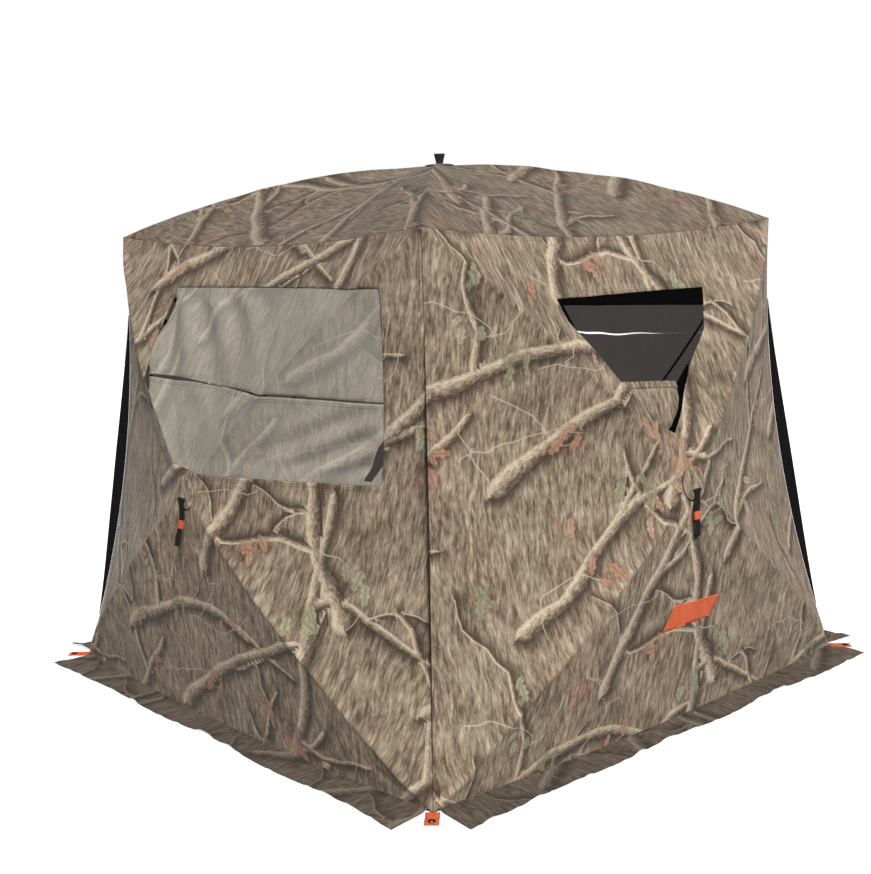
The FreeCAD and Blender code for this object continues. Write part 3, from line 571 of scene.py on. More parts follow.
def printedCloth(name, wash=None, washShare=0.0, paintedShadeFactor=1.0, alpha=1.0):
    # polyester cloth, matt, with a soft woven look and a woodland print: grey brown bark streaks
    # a few millimetres wide, pale limbs with a dark underside, twigs and hanging leaves
    material, shader, add = newMaterial(name)
    place = add("Attribute", out="Vector", attribute_name="printPlace")
    read = {key: add("Attribute", out="Fac", attribute_name=key) for key in (
        "limbSide", "limbGap", "limbRun", "twigSide", "twigGap", "leafEdge", "leafSide", "leafTint",
        "edgeAway")}

    wander = add("TexNoise", {"Vector": place, "Scale": 5.0, "Detail": 2.0}, "Color", noise_dimensions="2D")
    drift = add("VectorMath", (wander, (0.035, 0.0, 0.0), place), operation="MULTIPLY_ADD")
    broad = uneven(add, drift, clothFinish["broadStreaks"], 3.0, 0.6, clothFinish["streakLean"])
    fine = uneven(add, drift, clothFinish["fineStreaks"], 3.0, 0.62, clothFinish["streakLean"])
    patches = uneven(add, place, (7, 6))
    tone = add("Math", (fine, 0.46), operation="MULTIPLY")
    tone = add("Math", (broad, 0.48, tone), operation="MULTIPLY_ADD")
    tone = add("Math", (tone, 0.09), operation="SUBTRACT")
    tone = add("Math", (patches, 0.24, tone), operation="MULTIPLY_ADD")
    bark = add("ValToRGB", (tone,), stops=clothFinish["bark"])
    hue = add("ValToRGB", (uneven(add, place, (3.1, 3.1), 2.0),), stops=clothFinish["hue"])
    bark = add("Mix", {0: 0.35, 6: bark, 7: hue}, blend_type="SOFT_LIGHT", **colourMix)

    # shade that the limbs throw on the bark behind, on their lower side
    under = add("MapRange", (read["limbGap"], 0.0, 0.034, 1.0, 0.0))
    below = add("MapRange", (read["limbSide"], -0.6, 0.6, 0.10, 1.0))
    shade = add("Math", (under, below), operation="MULTIPLY")
    shade = add("Math", (shade, 0.85), operation="MULTIPLY")
    colour = add("Mix", {0: shade, 6: bark, 7: linear(clothFinish["shadow"])}, **colourMix)

    # limbs: a rounded stroke with its own bark grain that breaks up its outline
    grainPlace = add("CombineXYZ", (read["limbRun"], read["limbSide"]))
    grain = uneven(add, grainPlace, (52, 3.2), 5.0, 0.75)
    rounded = add("Math", (read["limbSide"], 1.40), operation="SUBTRACT")
    rounded = add("Math", (grain, 2.8, rounded), operation="MULTIPLY_ADD")
    rounded = add("MapRange", (rounded, -1.3, 1.3))
    limbColour = add("ValToRGB", (rounded,), stops=clothFinish["limb"])
    limbColour = add("Mix", {0: 0.35, 6: limbColour, 7: bark}, blend_type="OVERLAY", **colourMix)
    ragged = add("Math", (read["limbSide"],), operation="ABSOLUTE")
    ragged = add("Math", (fine, 0.8, ragged), operation="MULTIPLY_ADD")
    inLimb = add("MapRange", (ragged, 1.18, 1.42, 0.92, 0.0))
    near = add("MapRange", (read["limbGap"], 0.001, 0.005, 1.0, 0.0))
    inLimb = add("Math", (inLimb, near), operation="MULTIPLY")
    colour = add("Mix", {0: inLimb, 6: colour, 7: limbColour}, **colourMix)

    # twigs: thin and pale
    inTwig = add("Math", (read["twigSide"],), operation="ABSOLUTE")
    inTwig = add("MapRange", (inTwig, 0.6, 1.6, 0.62, 0.0))
    near = add("Math", (read["twigGap"], 0.007), operation="LESS_THAN")
    inTwig = add("Math", (inTwig, near), operation="MULTIPLY")
    colour = add("Mix", {0: inTwig, 6: colour, 7: linear(clothFinish["twig"])}, **colourMix)

    # leaves: olive, straw, orange brown and rust, darker along the rib
    leafColour = add("ValToRGB", (read["leafTint"],), stops=clothFinish["leaf"])
    rib = add("Math", (read["leafSide"],), operation="ABSOLUTE")
    rib = add("MapRange", (rib, 0.04, 0.32, 0.45, 0.0))
    leafColour = add("Mix", {0: rib, 6: leafColour, 7: linear(clothFinish["rib"])}, **colourMix)
    leafColour = add("Mix", {0: 0.35, 6: leafColour, 7: bark}, blend_type="SOFT_LIGHT", **colourMix)
    halo = add("MapRange", (read["leafEdge"], 0.0, 0.012, 0.40, 0.0))
    colour = add("Mix", {0: halo, 6: colour, 7: linear(clothFinish["shadow"])}, **colourMix)
    inLeaf = add("MapRange", (read["leafEdge"], -0.004, 0.0025, 0.82, 0.0))
    colour = add("Mix", {0: inLeaf, 6: colour, 7: leafColour}, **colourMix)

    # a colour mixed over the print: the paler grey of the window mesh, and on the roof and the skirt a darker
    # brown that is part of their painted shade
    if wash:
        colour = add("Mix", {0: washShare, 6: colour, 7: linear(wash)}, **colourMix)
    # a felled seam along every sewn edge: painted shade in the fold at the very edge, and two rows of
    # stitches
    seam = add("MapRange", (read["edgeAway"], 0.0, clothFinish["seamWidth"]))
    seam = add("ValToRGB", (seam,), stops=clothFinish["seam"])
    colour = add("Mix", {0: 0.8, 6: colour, 7: seam}, blend_type="MULTIPLY", **colourMix)
    # painted shade: the whole print darkened by a factor, for the roof's and the skirt's copies
    if paintedShadeFactor != 1.0:
        colour = add("Mix", {0: 1.0, 6: colour, 7: (paintedShadeFactor, paintedShadeFactor, paintedShadeFactor, 1)}, blend_type="MULTIPLY", **colourMix)
    others = {"Specular IOR Level": 0.22, "Sheen Weight": 0.10}
    if alpha < 1:
        # open mesh: thread and hole, a millimetre apart
        others["Alpha"] = add("MapRange", (uneven(add, place, (900, 900), 0.0), 0.42, 0.48, alpha, 1.0))
    fold = add("MapRange", (read["edgeAway"], 0.015, 0.017, 1.0, 0.0))
    fold = add("Math", (fold, 1.5), operation="MULTIPLY")
    weave = add("Math", (uneven(add, place, (420, 420), 1.0), 0.5, fold), operation="MULTIPLY_ADD")
    finishSurface(add, shader, colour, 0.85, weave, 0.35, 0.0008, others)
    return material


def plainCloth(name, hexColour, roughness=0.75, ribs=(0, 0), stitch=None, spread=0.25, glow=0.0, shine=0.3):
    # one colour of cloth, tape or webbing: a slubby tone, a weave that catches the light,
    # and where asked, ribs per metre, stitches near the sewn edge, and a painted glow for daylight that comes
    # through
    material, shader, add = newMaterial(name)
    place = add("TexCoord", out="Object")
    base = np.array(linear(hexColour)[:3])
    tone = uneven(add, place, (70, 70), 4.0, flat=False)
    stops = [(0.30, (*(base * (1 - spread)), 1)), (0.70, (*(base * (1 + spread)), 1))]
    colour = add("ValToRGB", (tone,), stops=stops)
    if stitch:
        line = add("Attribute", out="Fac", attribute_name="edgeAway")
        line = add("Math", (line, 0.0055, 0.0008), operation="COMPARE")
        colour = add("Mix", {0: line, 6: colour, 7: linear(stitch)}, **colourMix)
    weave = uneven(add, place, (620, 620), 1.0, flat=False)
    if ribs[0]:
        wave = add("TexWave", {"Vector": place, "Scale": ribs[0], "Distortion": 0.4}, "Fac",
                   bands_direction="DIAGONAL")
        weave = add("Math", (wave, ribs[1], weave), operation="MULTIPLY_ADD")
    others = {"Specular IOR Level": shine}
    # painted light: an even glow that stands in for daylight through the cloth
    if glow:
        others.update({"Emission Color": linear("f3e8e4"), "Emission Strength": glow})
    finishSurface(add, shader, colour, roughness, weave, 0.45, 0.0006, others)
    return material


def mouldedNylon(name, hexColour):
    # glass filled nylon: satin black with fine spark texture and paler rubbed edges
    material, shader, add = newMaterial(name)
    place = add("TexCoord", out="Object")
    cloudy = uneven(add, place, (45, 45), 4.0, flat=False)
    worn = add("MapRange", (add("NewGeometry", out="Pointiness"), 0.52, 0.60, 0.0, 0.35))
    colour = add("MapRange", (cloudy, 0.3, 0.7, 0.0, 0.4))
    colour = add("Mix", {0: colour, 6: linear(hexColour), 7: linear("35332f")}, **colourMix)
    colour = add("Mix", {0: worn, 6: colour, 7: linear("5b5852")}, **colourMix)
    roughness = add("MapRange", (cloudy, 0.3, 0.7, 0.42, 0.60))
    spark = uneven(add, place, (900, 900), 1.0, flat=False)
    finishSurface(add, shader, colour, roughness, spark, 0.25, 0.0003)
    return material


def metal(name, hexColour, roughness, tarnish):
    # plated steel: dull grey with cloudy tarnish and fine scratches
    material, shader, add = newMaterial(name)
    place = add("TexCoord", out="Object")
    cloudy = uneven(add, place, (120, 120), 5.0, flat=False)
    colour = add("MapRange", (cloudy, 0.4, 0.7, 0.0, 0.6))
    colour = add("Mix", {0: colour, 6: linear(hexColour), 7: linear(tarnish)}, **colourMix)
    roughness = add("MapRange", (cloudy, 0.3, 0.7, roughness, roughness + 0.2))
    scratches = uneven(add, place, (1500, 90), 2.0, flat=False)
    finishSurface(add, shader, colour, roughness, scratches, 0.15, 0.0002, {"Metallic": 1.0})
    return material


def glassFibre(name):
    # pultruded rod: dark grey resin with fibres that run along it
    material, shader, add = newMaterial(name)
    fibres = uneven(add, add("TexCoord", out="Object"), (240, 240), 4.0, flat=False)
    colour = add("MapRange", (fibres, 0.3, 0.7, 0.0, 1.0))
    colour = add("Mix", {0: colour, 6: linear("1d1d1c"), 7: linear("3d3c38")}, **colourMix)
    finishSurface(add, shader, colour, 0.38, fibres, 0.1, 0.0002)
    return material


camoCloth = printedCloth("printedPolyester")
# the roof's and the skirt's copies of the wall cloth, darkened all over and washed browner: painted shade
roofCamoPaintedShade = printedCloth("printedPolyesterRoofPaintedShade", wash="786656", washShare=0.18, paintedShadeFactor=0.70)
skirtCamoPaintedShade = printedCloth("printedSkirtPaintedShade", wash="5c4d40", washShare=0.35, paintedShadeFactor=0.52)
meshCloth = printedCloth("printedWindowMesh", wash="a8a69b", washShare=0.56, alpha=0.84)
# the black coated lining is drawn pale grey with a faint glow: painted light inside the blind
lining = plainCloth("blackCoatedLiningPaintedLight", "8d8481", 0.6, spread=0.10, glow=0.050)
blackBinding = plainCloth("blackBinding", "121111", 0.8, shine=0.12)
# black without shine, for sheets of painted shade in the front window
windowShadeSheet = plainCloth("windowPaintedShade", "060606", 0.9, shine=0.03)
blackWebbing = plainCloth("blackWebbing", "1a1918", 0.65, ribs=(260, 1.2))
orangeWebbing = plainCloth("orangeWebbing", "e0663a", 0.65, ribs=(260, 1.2))
orangePatch = plainCloth("orangePatch", "dd6a45", 0.7, stitch="a8451f", spread=0.10)
zipTape = plainCloth("zipTape", "191817", 0.7)
blackSteel = metal("blackenedSteel", "2c2b2a", 0.40, "4a4743")

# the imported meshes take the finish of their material
packedFinish = {"rod": glassFibre("glassFibreRod"), "hub_nylon": mouldedNylon("mouldedNylon", "171615"),
                "steel": metal("zincPlatedSteel", "9a9a96", 0.32, "6d6c66"), "eyelet": blackSteel}
for part in frame["record"]["subparts"]:
    if part["material_slot"] in packedFinish:
        node = frame["nodes"][part["node"]]
        node.data.materials.clear()
        node.data.materials.append(packedFinish[part["material_slot"]])
print("materials made")

# walls and roof

wall, roof = wallPanel(), roofPanel()
wallNames = ["front", "right", "back", "left"]
clothSpec = {
    "seeds": [10, 17, 24, 31, 60],      # of the folds: the walls in order, then the roof
    "gridCount": 200,
    "printShift": [(0.00, 0.00), (0.63, 0.31), (0.27, 0.55), (0.95, 0.82), (0.40, 0.20)],
    "holeShare": 0.008,     # the bolt's hole at the hub, in the grid's own measure
}

frontWindow = {"middle": -0.030, "halfWidth": 0.358, "top": blind["eaveHeight"] - 0.222,
               "foot": blind["hubHeight"] + 0.157}
meshWindow = {"right": blind["eaveHalf"] - 0.114, "width": 1.094, "top": blind["eaveHeight"] - 0.175,
              "foot": blind["hubHeight"] + 0.077}
door = {"foot": 0.212, "belowEave": 0.155, "fromSeam": (0.103, 0.071), "reach": 0.262, "aboveHub": 0.011,
        "clearance": 0.005}


def scaled(shares, left, foot, width, height):
    return [(left + s * width, foot + t * height) for s, t in shares]


def frontOutline():
    w = frontWindow
    shares = [(0, 1), (0.015, 0.85), (0.20, 0.44), (0.40, 0.08), (0.50, 0), (0.585, 0.16), (0.72, 0.44),
              (0.90, 0.70), (1, 1)]
    return scaled(shares, w["middle"] - w["halfWidth"], w["foot"], 2 * w["halfWidth"], w["top"] - w["foot"])


def meshOutline():
    w = meshWindow
    shares = [(0.005, 1), (0, 0.65), (0.05, 0.30), (0.11, 0.10), (0.23, 0.02), (0.39, -0.02), (1, 0),
              (0.995, 1.014)]
    return scaled(shares, w["right"] - w["width"], w["foot"], w["width"], w["top"] - w["foot"])


def seamAlong(height):
    share = height / blind["eaveHeight"]
    straight = blind["floorHalf"] + (blind["eaveHalf"] - blind["floorHalf"]) * share
    return straight - blind["seamPull"] * math.sqrt(0.5) * hump(share)


def doorOutline():
    head = blind["eaveHeight"] - door["belowEave"]
    return [(seamAlong(door["foot"]) - door["fromSeam"][0], door["foot"]),
            (seamAlong(head) - door["fromSeam"][1], head),
            (door["reach"], blind["hubHeight"] + door["aboveHub"])]


def grown(outline, margin):
    # each edge moved outwards by the margin, and the corners where the moved edges meet
    points = np.array(outline)
    middle = points.mean(0)
    ways = unit(np.roll(points, -1, axis=0) - points)
    sides = np.column_stack([ways[:, 1], -ways[:, 0]])
    sides *= np.sign(((points - middle) * sides).sum(1))[:, None]
    starts = points + sides * margin
    result = []
    for k in range(len(points)):
        p, u, q, v = starts[k - 1], ways[k - 1], starts[k], ways[k]
        cross = u[0] * v[1] - u[1] * v[0]
        result.append(tuple(p + u * (((q - p)[0] * v[1] - (q - p)[1] * v[0]) / cross)))
    return result


def mirrored(outline):
    return [(-s, z) for s, z in outline][::-1]


def follow(piece, weights):
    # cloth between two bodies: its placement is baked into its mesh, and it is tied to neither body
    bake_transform(piece)


def edgeDistance(outlines, s, z):
    # distance to the nearest of several outlines
    away = np.full(s.shape, 1.0)
    for outline in outlines:
        away = np.minimum(away, np.abs(outlineDistance(s, z, outline)[0]))
    return away


def layPiece(name, panel, a, b, faces, materials, slot, bodies, sheet, quarters=0, lift=0.0, thickness=0.0012,
             shift=(0, 0), billow=None, borders=(), toSeams=False, weights=None, replaces=()):
    # a piece of cloth that is a panel or lies along one, from its grid places
    a, b, faces = usedOnly(a, b, faces)
    isRoof = panel is roof
    points, normals = clothPlace(panel, a, b, clothSpec["seeds"][4 if isRoof else quarters], isRoof, lift)
    _, _, out, _ = gridPlace(a, b)
    if billow:
        points = points + normals * billow(points[:, 0], points[:, 2])[:, None]
    away = edgeDistance(borders, points[:, 0], points[:, 2])
    if toSeams:
        away = np.minimum(away, (1 - out) * blind["eaveHalf"])
    printAt = points[:, 0] + shift[0], points[:, 1 if isRoof else 2] + shift[1]
    piece = makeSkin(name, points, normals, facing(points, faces, normals), thickness, materials, quarters,
                     printAt, away)
    if len(bodies) == 2:
        both = np.concatenate([points, points - normals * thickness])
        follow(piece, weights(both) if weights else np.tile(1 - out, 2))
    else:
        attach(piece, bodies[0])
    if replaces:
        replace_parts(piece, *replaces)
    return piece


def fillOutline(outline, step):
    # grid places of a piece of cloth with this outline on the front wall
    points = np.array(outline)
    low, high = points.min(0) - step, points.max(0) + step
    s, z = np.arange(low[0], high[0], step), np.arange(low[1], high[1], step)
    faces = gridTriangles(len(s), len(z))
    s, z = [m.ravel() for m in np.meshgrid(s, z)]
    return cutFlat(s, z, faces, outline, keepInside=True)


def cutFlat(s, z, faces, outline, keepInside):
    # keeps the triangles inside or outside an outline and draws the new border onto it
    border = set(map(tuple, np.sort(edgesOf(faces), axis=1).tolist()))
    distance, _, _ = outlineDistance(s[faces].mean(1), z[faces].mean(1), outline)
    faces = faces[distance < 0] if keepInside else faces[distance >= 0]
    new = [e for e in edgesOf(faces).tolist() if tuple(sorted(e)) not in border]
    s, z = s.copy(), z.copy()
    if new:
        rim = np.unique(new)
        _, rimS, rimZ = outlineDistance(s[rim], z[rim], outline)
        for corner in outline:
            nearest = np.argmin(np.hypot(s[rim] - corner[0], z[rim] - corner[1]))
            if math.hypot(s[rim][nearest] - corner[0], z[rim][nearest] - corner[1]) < 0.02:
                rimS[nearest], rimZ[nearest] = corner
        s[rim], z[rim] = rimS, rimZ
    used, index = np.unique(faces, return_inverse=True)
    return s[used], z[used], index.reshape(faces.shape)


def layOutline(name, outline, step, cuts=(), **rest):
    # a piece with this outline on the front wall, less the cuts
    s, z, faces = fillOutline(outline, step)
    for cut in cuts:
        s, z, faces = cutFlat(s, z, faces, cut, keepInside=False)
    layPiece(name, wall, *findPlace(wall, s, z), faces, **rest)


gridA, gridB, gridFaces = gridOf(clothSpec["gridCount"])
awayFromBolt = np.maximum(np.abs(gridA), np.abs(gridB))[gridFaces].max(1) > clothSpec["holeShare"]
gridFaces = gridFaces[awayFromBolt]
wallOutlines = [frontOutline(), mirrored(meshOutline()), grown(doorOutline(), door["clearance"]),
                meshOutline()]
wallFlat = (2 * blind["floorHalf"], blind["eaveHeight"] + 0.09)     # the cut before it is sewn, across and up
wallCut = [0.90 - 0.04, 0.90 - 0.17, 0.90 - 0.11, 0.90 - 0.17]      # share that is left beside each opening
for k, name in enumerate(wallNames):
    a, b, faces = cutGrid(wall, gridA, gridB, gridFaces, wallOutlines[k])
    piece = layPiece(
        f"{name}WallCloth", wall, a, b, faces, [camoCloth, lining], "camo_cloth", ("shell", f"{name}_hub"),
        (wallFlat, "stretched", f"{name}_hub_body", wallFlat[0] * wallFlat[1] * wallCut[k]), quarters=k,
        shift=clothSpec["printShift"][k], borders=[wallOutlines[k]], toSeams=True, replaces=[f"wall_{name}"])
    print(name, "wall made,", len(piece.data.polygons), "faces")
layPiece("roofCloth", roof, gridA, gridB, gridFaces, [roofCamoPaintedShade, lining], "camo_cloth", ("shell", "roof_hub"),
         ((1.78, 1.78), "stretched", "roof_hub_body"), shift=clothSpec["printShift"][4], toSeams=True,
         replaces=["roof_canopy"])
print("roof made")

# windows

meshSpec = {
    "lap": 0.020,           # a panel reaches this far behind the edge of its opening
    "behind": 0.0028,
    "step": 0.007,
    # half width of the gap at a share of its length, and how far it falls, on the left and the right wall
    "halves": {1: [(0.0, 0.0010), (0.05, 0.0035), (0.15, 0.0065), (0.23, 0.0030), (0.34, 0.0005),
                   (0.42, 0.0005), (0.50, 0.0022), (0.75, 0.0024), (1.0, 0.0012)],
               -1: [(0.0, 0.0030), (0.17, 0.0044), (0.35, 0.0032), (0.46, 0.0020), (0.52, 0.0002),
                    (1.0, 0.0002)]},
    "fall": {1: 0.037, -1: -0.036},
    "rise": {1: 0.256, -1: 0.284},
    "fold": 0.0105,         # height of the slanting folds
    "slack": 0.0040,        # height of the loose waves, and of the flare along the gap
    # places where the mesh has come away from its edge, as shares of the opening
    "slits": [[(-0.010, 0.97), (0.024, 0.93), (0.016, 0.80), (-0.010, 0.66)],
              [(0.000, 0.56), (0.024, 0.53), (0.058, 0.42), (0.078, 0.30), (0.045, 0.24)],
              [(1.010, 0.27), (0.985, 0.20), (0.948, 0.02), (0.970, 0.02), (1.010, 0.14)]],
}


def meshBox():
    # left, foot, width and height of the side window
    w = meshWindow
    return w["right"] - w["width"], w["foot"], w["width"], w["top"] - w["foot"]


def gapHeight(s, side, hand=1):
    # height of the gap's middle, and half of its width to one side
    left, foot, width, _ = meshBox()
    share = (np.asarray(s) - left) / width
    middle = foot + meshSpec["rise"][hand] + meshSpec["fall"][hand] * (0.5 - share)
    places, halves = np.array(meshSpec["halves"][hand]).T
    return middle + side * np.interp(share, places, halves)


def meshPanelOutline(isUpper, hand):
    left, _, width, _ = meshBox()
    lap = meshSpec["lap"]
    outline = grown(meshOutline(), lap)
    side = 1 if isUpper else -1
    line = np.linspace(left - 2 * lap, left + width + 2 * lap, 29)
    edge = list(zip(line, gapHeight(line, side, hand)))
    # the part of the lapped outline on this side of the gap, closed along the gap's edge
    dense = []
    for (s0, z0), (s1, z1) in zip(outline, outline[1:] + outline[:1]):
        for t in np.linspace(0, 1, 24, endpoint=False):
            dense.append((s0 + (s1 - s0) * t, z0 + (z1 - z0) * t))
    first = next(i for i in range(len(dense)) if side * (dense[i][1] - gapHeight(dense[i][0], side, hand)) > 0
                 and side * (dense[i - 1][1] - gapHeight(dense[i - 1][0], side, hand)) <= 0)
    ring = dense[first:] + dense[:first]
    keep = [p for p in ring if side * (p[1] - gapHeight(p[0], side, hand)) > 0]
    low, high = sorted((keep[0][0], keep[-1][0]))
    edge = [p for p in edge if low + 0.004 < p[0] < high - 0.004]
    if keep[-1][0] > keep[0][0]:
        edge = edge[::-1]
    return keep + edge


def meshBillow(hand):
    # slack in a mesh panel: folds that run down from the upper left, and up from the lower right
    left, foot, width, tall = meshBox()

    def height(s, z):
        u, v = (hand * s - left) / width, (z - foot) / tall
        inside = -outlineDistance(hand * s, z, meshOutline())[0]
        fade = smooth01(0.004, 0.06, inside)
        cross = u * 1.15 + v * 0.75
        upper = np.sin(cross * 30 + 2.0 * np.sin(v * 5)) * smooth01(0.15, 0.9, v)
        upper *= 1 - smooth01(0.25, 0.75, u)
        steep = u * 1.3 - v * 1.6
        lower = np.sin(steep * 26 + 1.3) * smooth01(0.55, 0.95, u) * (1 - smooth01(0.15, 0.55, v))
        slack = waves(s, z, 0.30, 6, 77)
        nearGap = np.exp(-np.abs(z - gapHeight(hand * s, 0, hand)) / 0.05)
        flare = np.sin(u * 13 + 0.6) * nearGap
        fold, loose = meshSpec["fold"], meshSpec["slack"]
        return fade * (fold * upper + fold * lower + loose * slack + loose * flare - 0.002)
    return height


for hand, wallIndex, upper, lower in ((1, 3, "left_mesh_upper", "left_mesh_lower"),
                                      (-1, 1, "right_mesh_panels", "right_mesh_panels")):
    sideName = wallNames[wallIndex]
    cuts = [scaled(slit, *meshBox()) for slit in meshSpec["slits"]]
    for isUpper in (True, False):
        outline = meshPanelOutline(isUpper, hand)
        if hand < 0:
            outline = mirrored(outline)
        flat = meshWindow["width"] + 0.04, 0.34 if isUpper else 0.29
        layOutline(
            f"{sideName}Mesh{'Upper' if isUpper else 'Lower'}", outline, meshSpec["step"],
            cuts if hand > 0 else [mirrored(cut) for cut in cuts], quarters=wallIndex,
            materials=[meshCloth, lining], slot="mesh_cloth", bodies=("shell", f"{sideName}_hub"),
            lift=-meshSpec["behind"], thickness=0.0006, shift=(0.31, 0.44 if isUpper else 0.02),
            billow=meshBillow(hand), borders=[outline],
            replaces=[upper if isUpper else lower],
            sheet=(flat, "stretched", f"{sideName}WallCloth", 0.90 * flat[1] * flat[0]))
print("mesh panels made")

coverSpec = {
    "left": frontWindow["middle"] - frontWindow["halfWidth"] - 0.008,
    "hemLeft": frontWindow["middle"] - frontWindow["halfWidth"] + 0.030,
    "right": frontWindow["middle"] + 0.078,
    "rise": 0.190,          # of the lowered top edge over the window's foot, at the left
    "slope": 0.085,
    "behind": 0.0034,
    "fold": 0.0055,
    "slack": 0.0035,
    "sag": 0.006,
}


def coverTop(s):
    return frontWindow["foot"] + coverSpec["rise"] - coverSpec["slope"] * (s - coverSpec["left"])


def coverOutline():
    w, left, right = frontWindow, coverSpec["left"], coverSpec["right"]
    top = [(s, coverTop(s) - 0.006 * math.sin(math.pi * t)) for s, t in
           ((left + (right - left) * t, t) for t in np.linspace(0, 1, 9))]
    return top + [(right - 0.010, w["foot"] + 0.105), (w["middle"] + 0.038, w["foot"] + 0.062),
                  (w["middle"] - 0.002, w["foot"] + 0.026), (w["middle"] - 0.052, w["foot"] + 0.006),
                  (w["middle"] - 0.110, w["foot"] - 0.020), (w["middle"] - 0.260, w["foot"] + 0.089)]


def coverBillow(s, z):
    # the lowered cover sags out a little, with slack folds under its top edge
    inside = -outlineDistance(s, z, frontOutline())[0]
    fade = smooth01(0.002, 0.05, inside)
    below = np.clip((coverTop(s) - z) / coverSpec["rise"], 0, 1)
    fold = np.sin((s - coverSpec["left"]) * 21 + 3 * below) * np.exp(-below * 2.5)
    slack = coverSpec["slack"] * waves(s, z, 0.17, 5, 91)
    return fade * (coverSpec["fold"] * fold + slack - coverSpec["sag"] * below)


def coverWeights(points):
    # a share for each point: 1 along the top edge, down to 0 at the sewn foot
    below = (coverTop(points[:, 0]) - points[:, 2]) / coverSpec["rise"]
    return np.clip(1 - below, 0, 1)


layOutline(
    "frontWindowCover", coverOutline(), 0.009, materials=[camoCloth, lining], slot="camo_cloth",
    bodies=("front_window", "front_cover"), weights=coverWeights, lift=-coverSpec["behind"],
    shift=(0.33, 0.13), billow=coverBillow, borders=[coverOutline()], replaces=["front_window_cover"],
    sheet=((0.50, 0.23), "hung", "frontWallCloth", 0.065))

# the band along the cover's top edge, from a little below it to just above
hemLine = np.linspace(coverSpec["hemLeft"], coverSpec["right"], 12)
hemOutline = [(s, coverTop(s) - 0.020) for s in hemLine] + [(s, coverTop(s) + 0.0015) for s in hemLine[::-1]]
layOutline(
    "frontCoverHem", hemOutline, 0.006, materials=[camoCloth], slot="camo_cloth", bodies=("front_cover",),
    lift=-0.0016, thickness=0.0040, shift=(0.60, 0.47), billow=lambda s, z: coverBillow(s, z) - 0.0004,
    replaces=["front_cover_hem"],
    sheet=((0.50, 0.022), "hung", "frontWindowCover"))

windowTop, bandLeft = frontWindow["top"], frontWindow["middle"] - frontWindow["halfWidth"]
bandSpec = {
    # black sheets of painted shade where the inside of the blind lies dark: the band under the window's top
    # edge with its tail down the left side, and the sheet that shows in the gap beside the lowered cover:
    # outline, flat size and area
    "frontWindowShadeBand": ([(-0.010, 0.016), (-0.010, -0.050), (0.020, -0.120), (0.042, -0.108), (0.024, -0.018),
                         (0.726, -0.058), (0.726, 0.016)], (bandLeft, windowTop), (0.736, 0.132), 0.040),
    "frontWindowShadeSheet": ([(0.176, 0.215), (0.015, -0.030), (-0.100, 0.000), (-0.070, 0.045), (0.025, 0.080),
                            (0.075, 0.140)],
                           (frontWindow["middle"], frontWindow["foot"]), (0.280, 0.090), 0.014),
}
for name, (outline, (s0, z0), flat, area) in bandSpec.items():
    layOutline(
        name, [(s0 + s, z0 + z) for s, z in outline], 0.008, materials=[windowShadeSheet], slot="black_cloth",
        bodies=("shell", "front_hub"), lift=-0.0074 if name == "frontWindowShadeSheet" else -0.0030,
        thickness=0.0008, sheet=(flat, "hung", "frontWallCloth", area))
print("front window made")

# door

doorSpec = {
    "zipWidth": 0.016,
    "fromHinge": 0.030,     # the teeth end here, and the tape a little nearer the sewn edge
    "tapeEnd": 0.012,
    "toothPitch": 0.0045,
    "tooth": (0.0030, 0.0042, 0.0018),
}
layOutline(
    "doorFlap", doorOutline(), 0.011, quarters=2, materials=[camoCloth, lining], slot="camo_cloth",
    bodies=("door",), shift=(0.27, 0.55), borders=[doorOutline()], replaces=["door_flap"],
    sheet=((1.24, 0.66), "hung", "backWallCloth", 0.41))


def sewnSide():
    # round the door's sewn edge, where there is no zip
    (s0, z0), (s1, z1), _ = doorOutline()
    gap = doorSpec["tapeEnd"]
    return [(s0 - gap, z0 - gap), (s0 + gap, z0 - gap), (s1 + gap, z1 + gap), (s1 - gap, z1 + gap)]


def hingeStrip(inner, outer):
    # a strip along the door's sewn edge, from just under the flap to behind the wall's cloth
    start, end, point = np.array(doorOutline())
    way = (end - start) / np.linalg.norm(end - start)
    away = np.array([way[1], -way[0]])
    away *= -np.sign((point - start) @ away)
    return [tuple(place) for place in (start - away * inner, start + away * outer, end + away * outer,
                                       end - away * inner)]


tapeAlike = {"quarters": 2, "bodies": ("door_surround",), "lift": -0.0020, "thickness": 0.0009}
layOutline(
    "doorZipTape", grown(doorOutline(), doorSpec["zipWidth"]), 0.007,
    [grown(doorOutline(), -doorSpec["zipWidth"] / 2), sewnSide()], materials=[zipTape], slot="zip_tape",
    replaces=["door_zip"], sheet=((1.72, 0.026), "stretched", "backWallCloth"), **tapeAlike)
layOutline(
    "doorHingeTape", hingeStrip(0.001, 0.016), 0.007, materials=[camoCloth, lining], slot="camo_cloth",
    shift=(0.27, 0.55), sheet=((1.30, 0.017), "stretched", "backWallCloth"), **tapeAlike)


def boxesAt(centres, forward, side, up, sizes):
    # one small block at each centre: its three directions and its length, width and height
    unitBox = np.array([(x, y, z) for x in (-0.5, 0.5) for y in (-0.5, 0.5) for z in (-0.5, 0.5)])
    quads = np.array([(0, 1, 3, 2), (4, 6, 7, 5), (0, 4, 5, 1), (2, 3, 7, 6), (0, 2, 6, 4), (1, 5, 7, 3)])
    offset = sum(unitBox[:, n, None] * sizes[n] * way[:, None] for n, way in enumerate((forward, side, up)))
    points = (centres[:, None] + offset).reshape(-1, 3)
    faces = (quads[None] + 8 * np.arange(len(centres))[:, None, None]).reshape(-1, 4)
    return points, faces


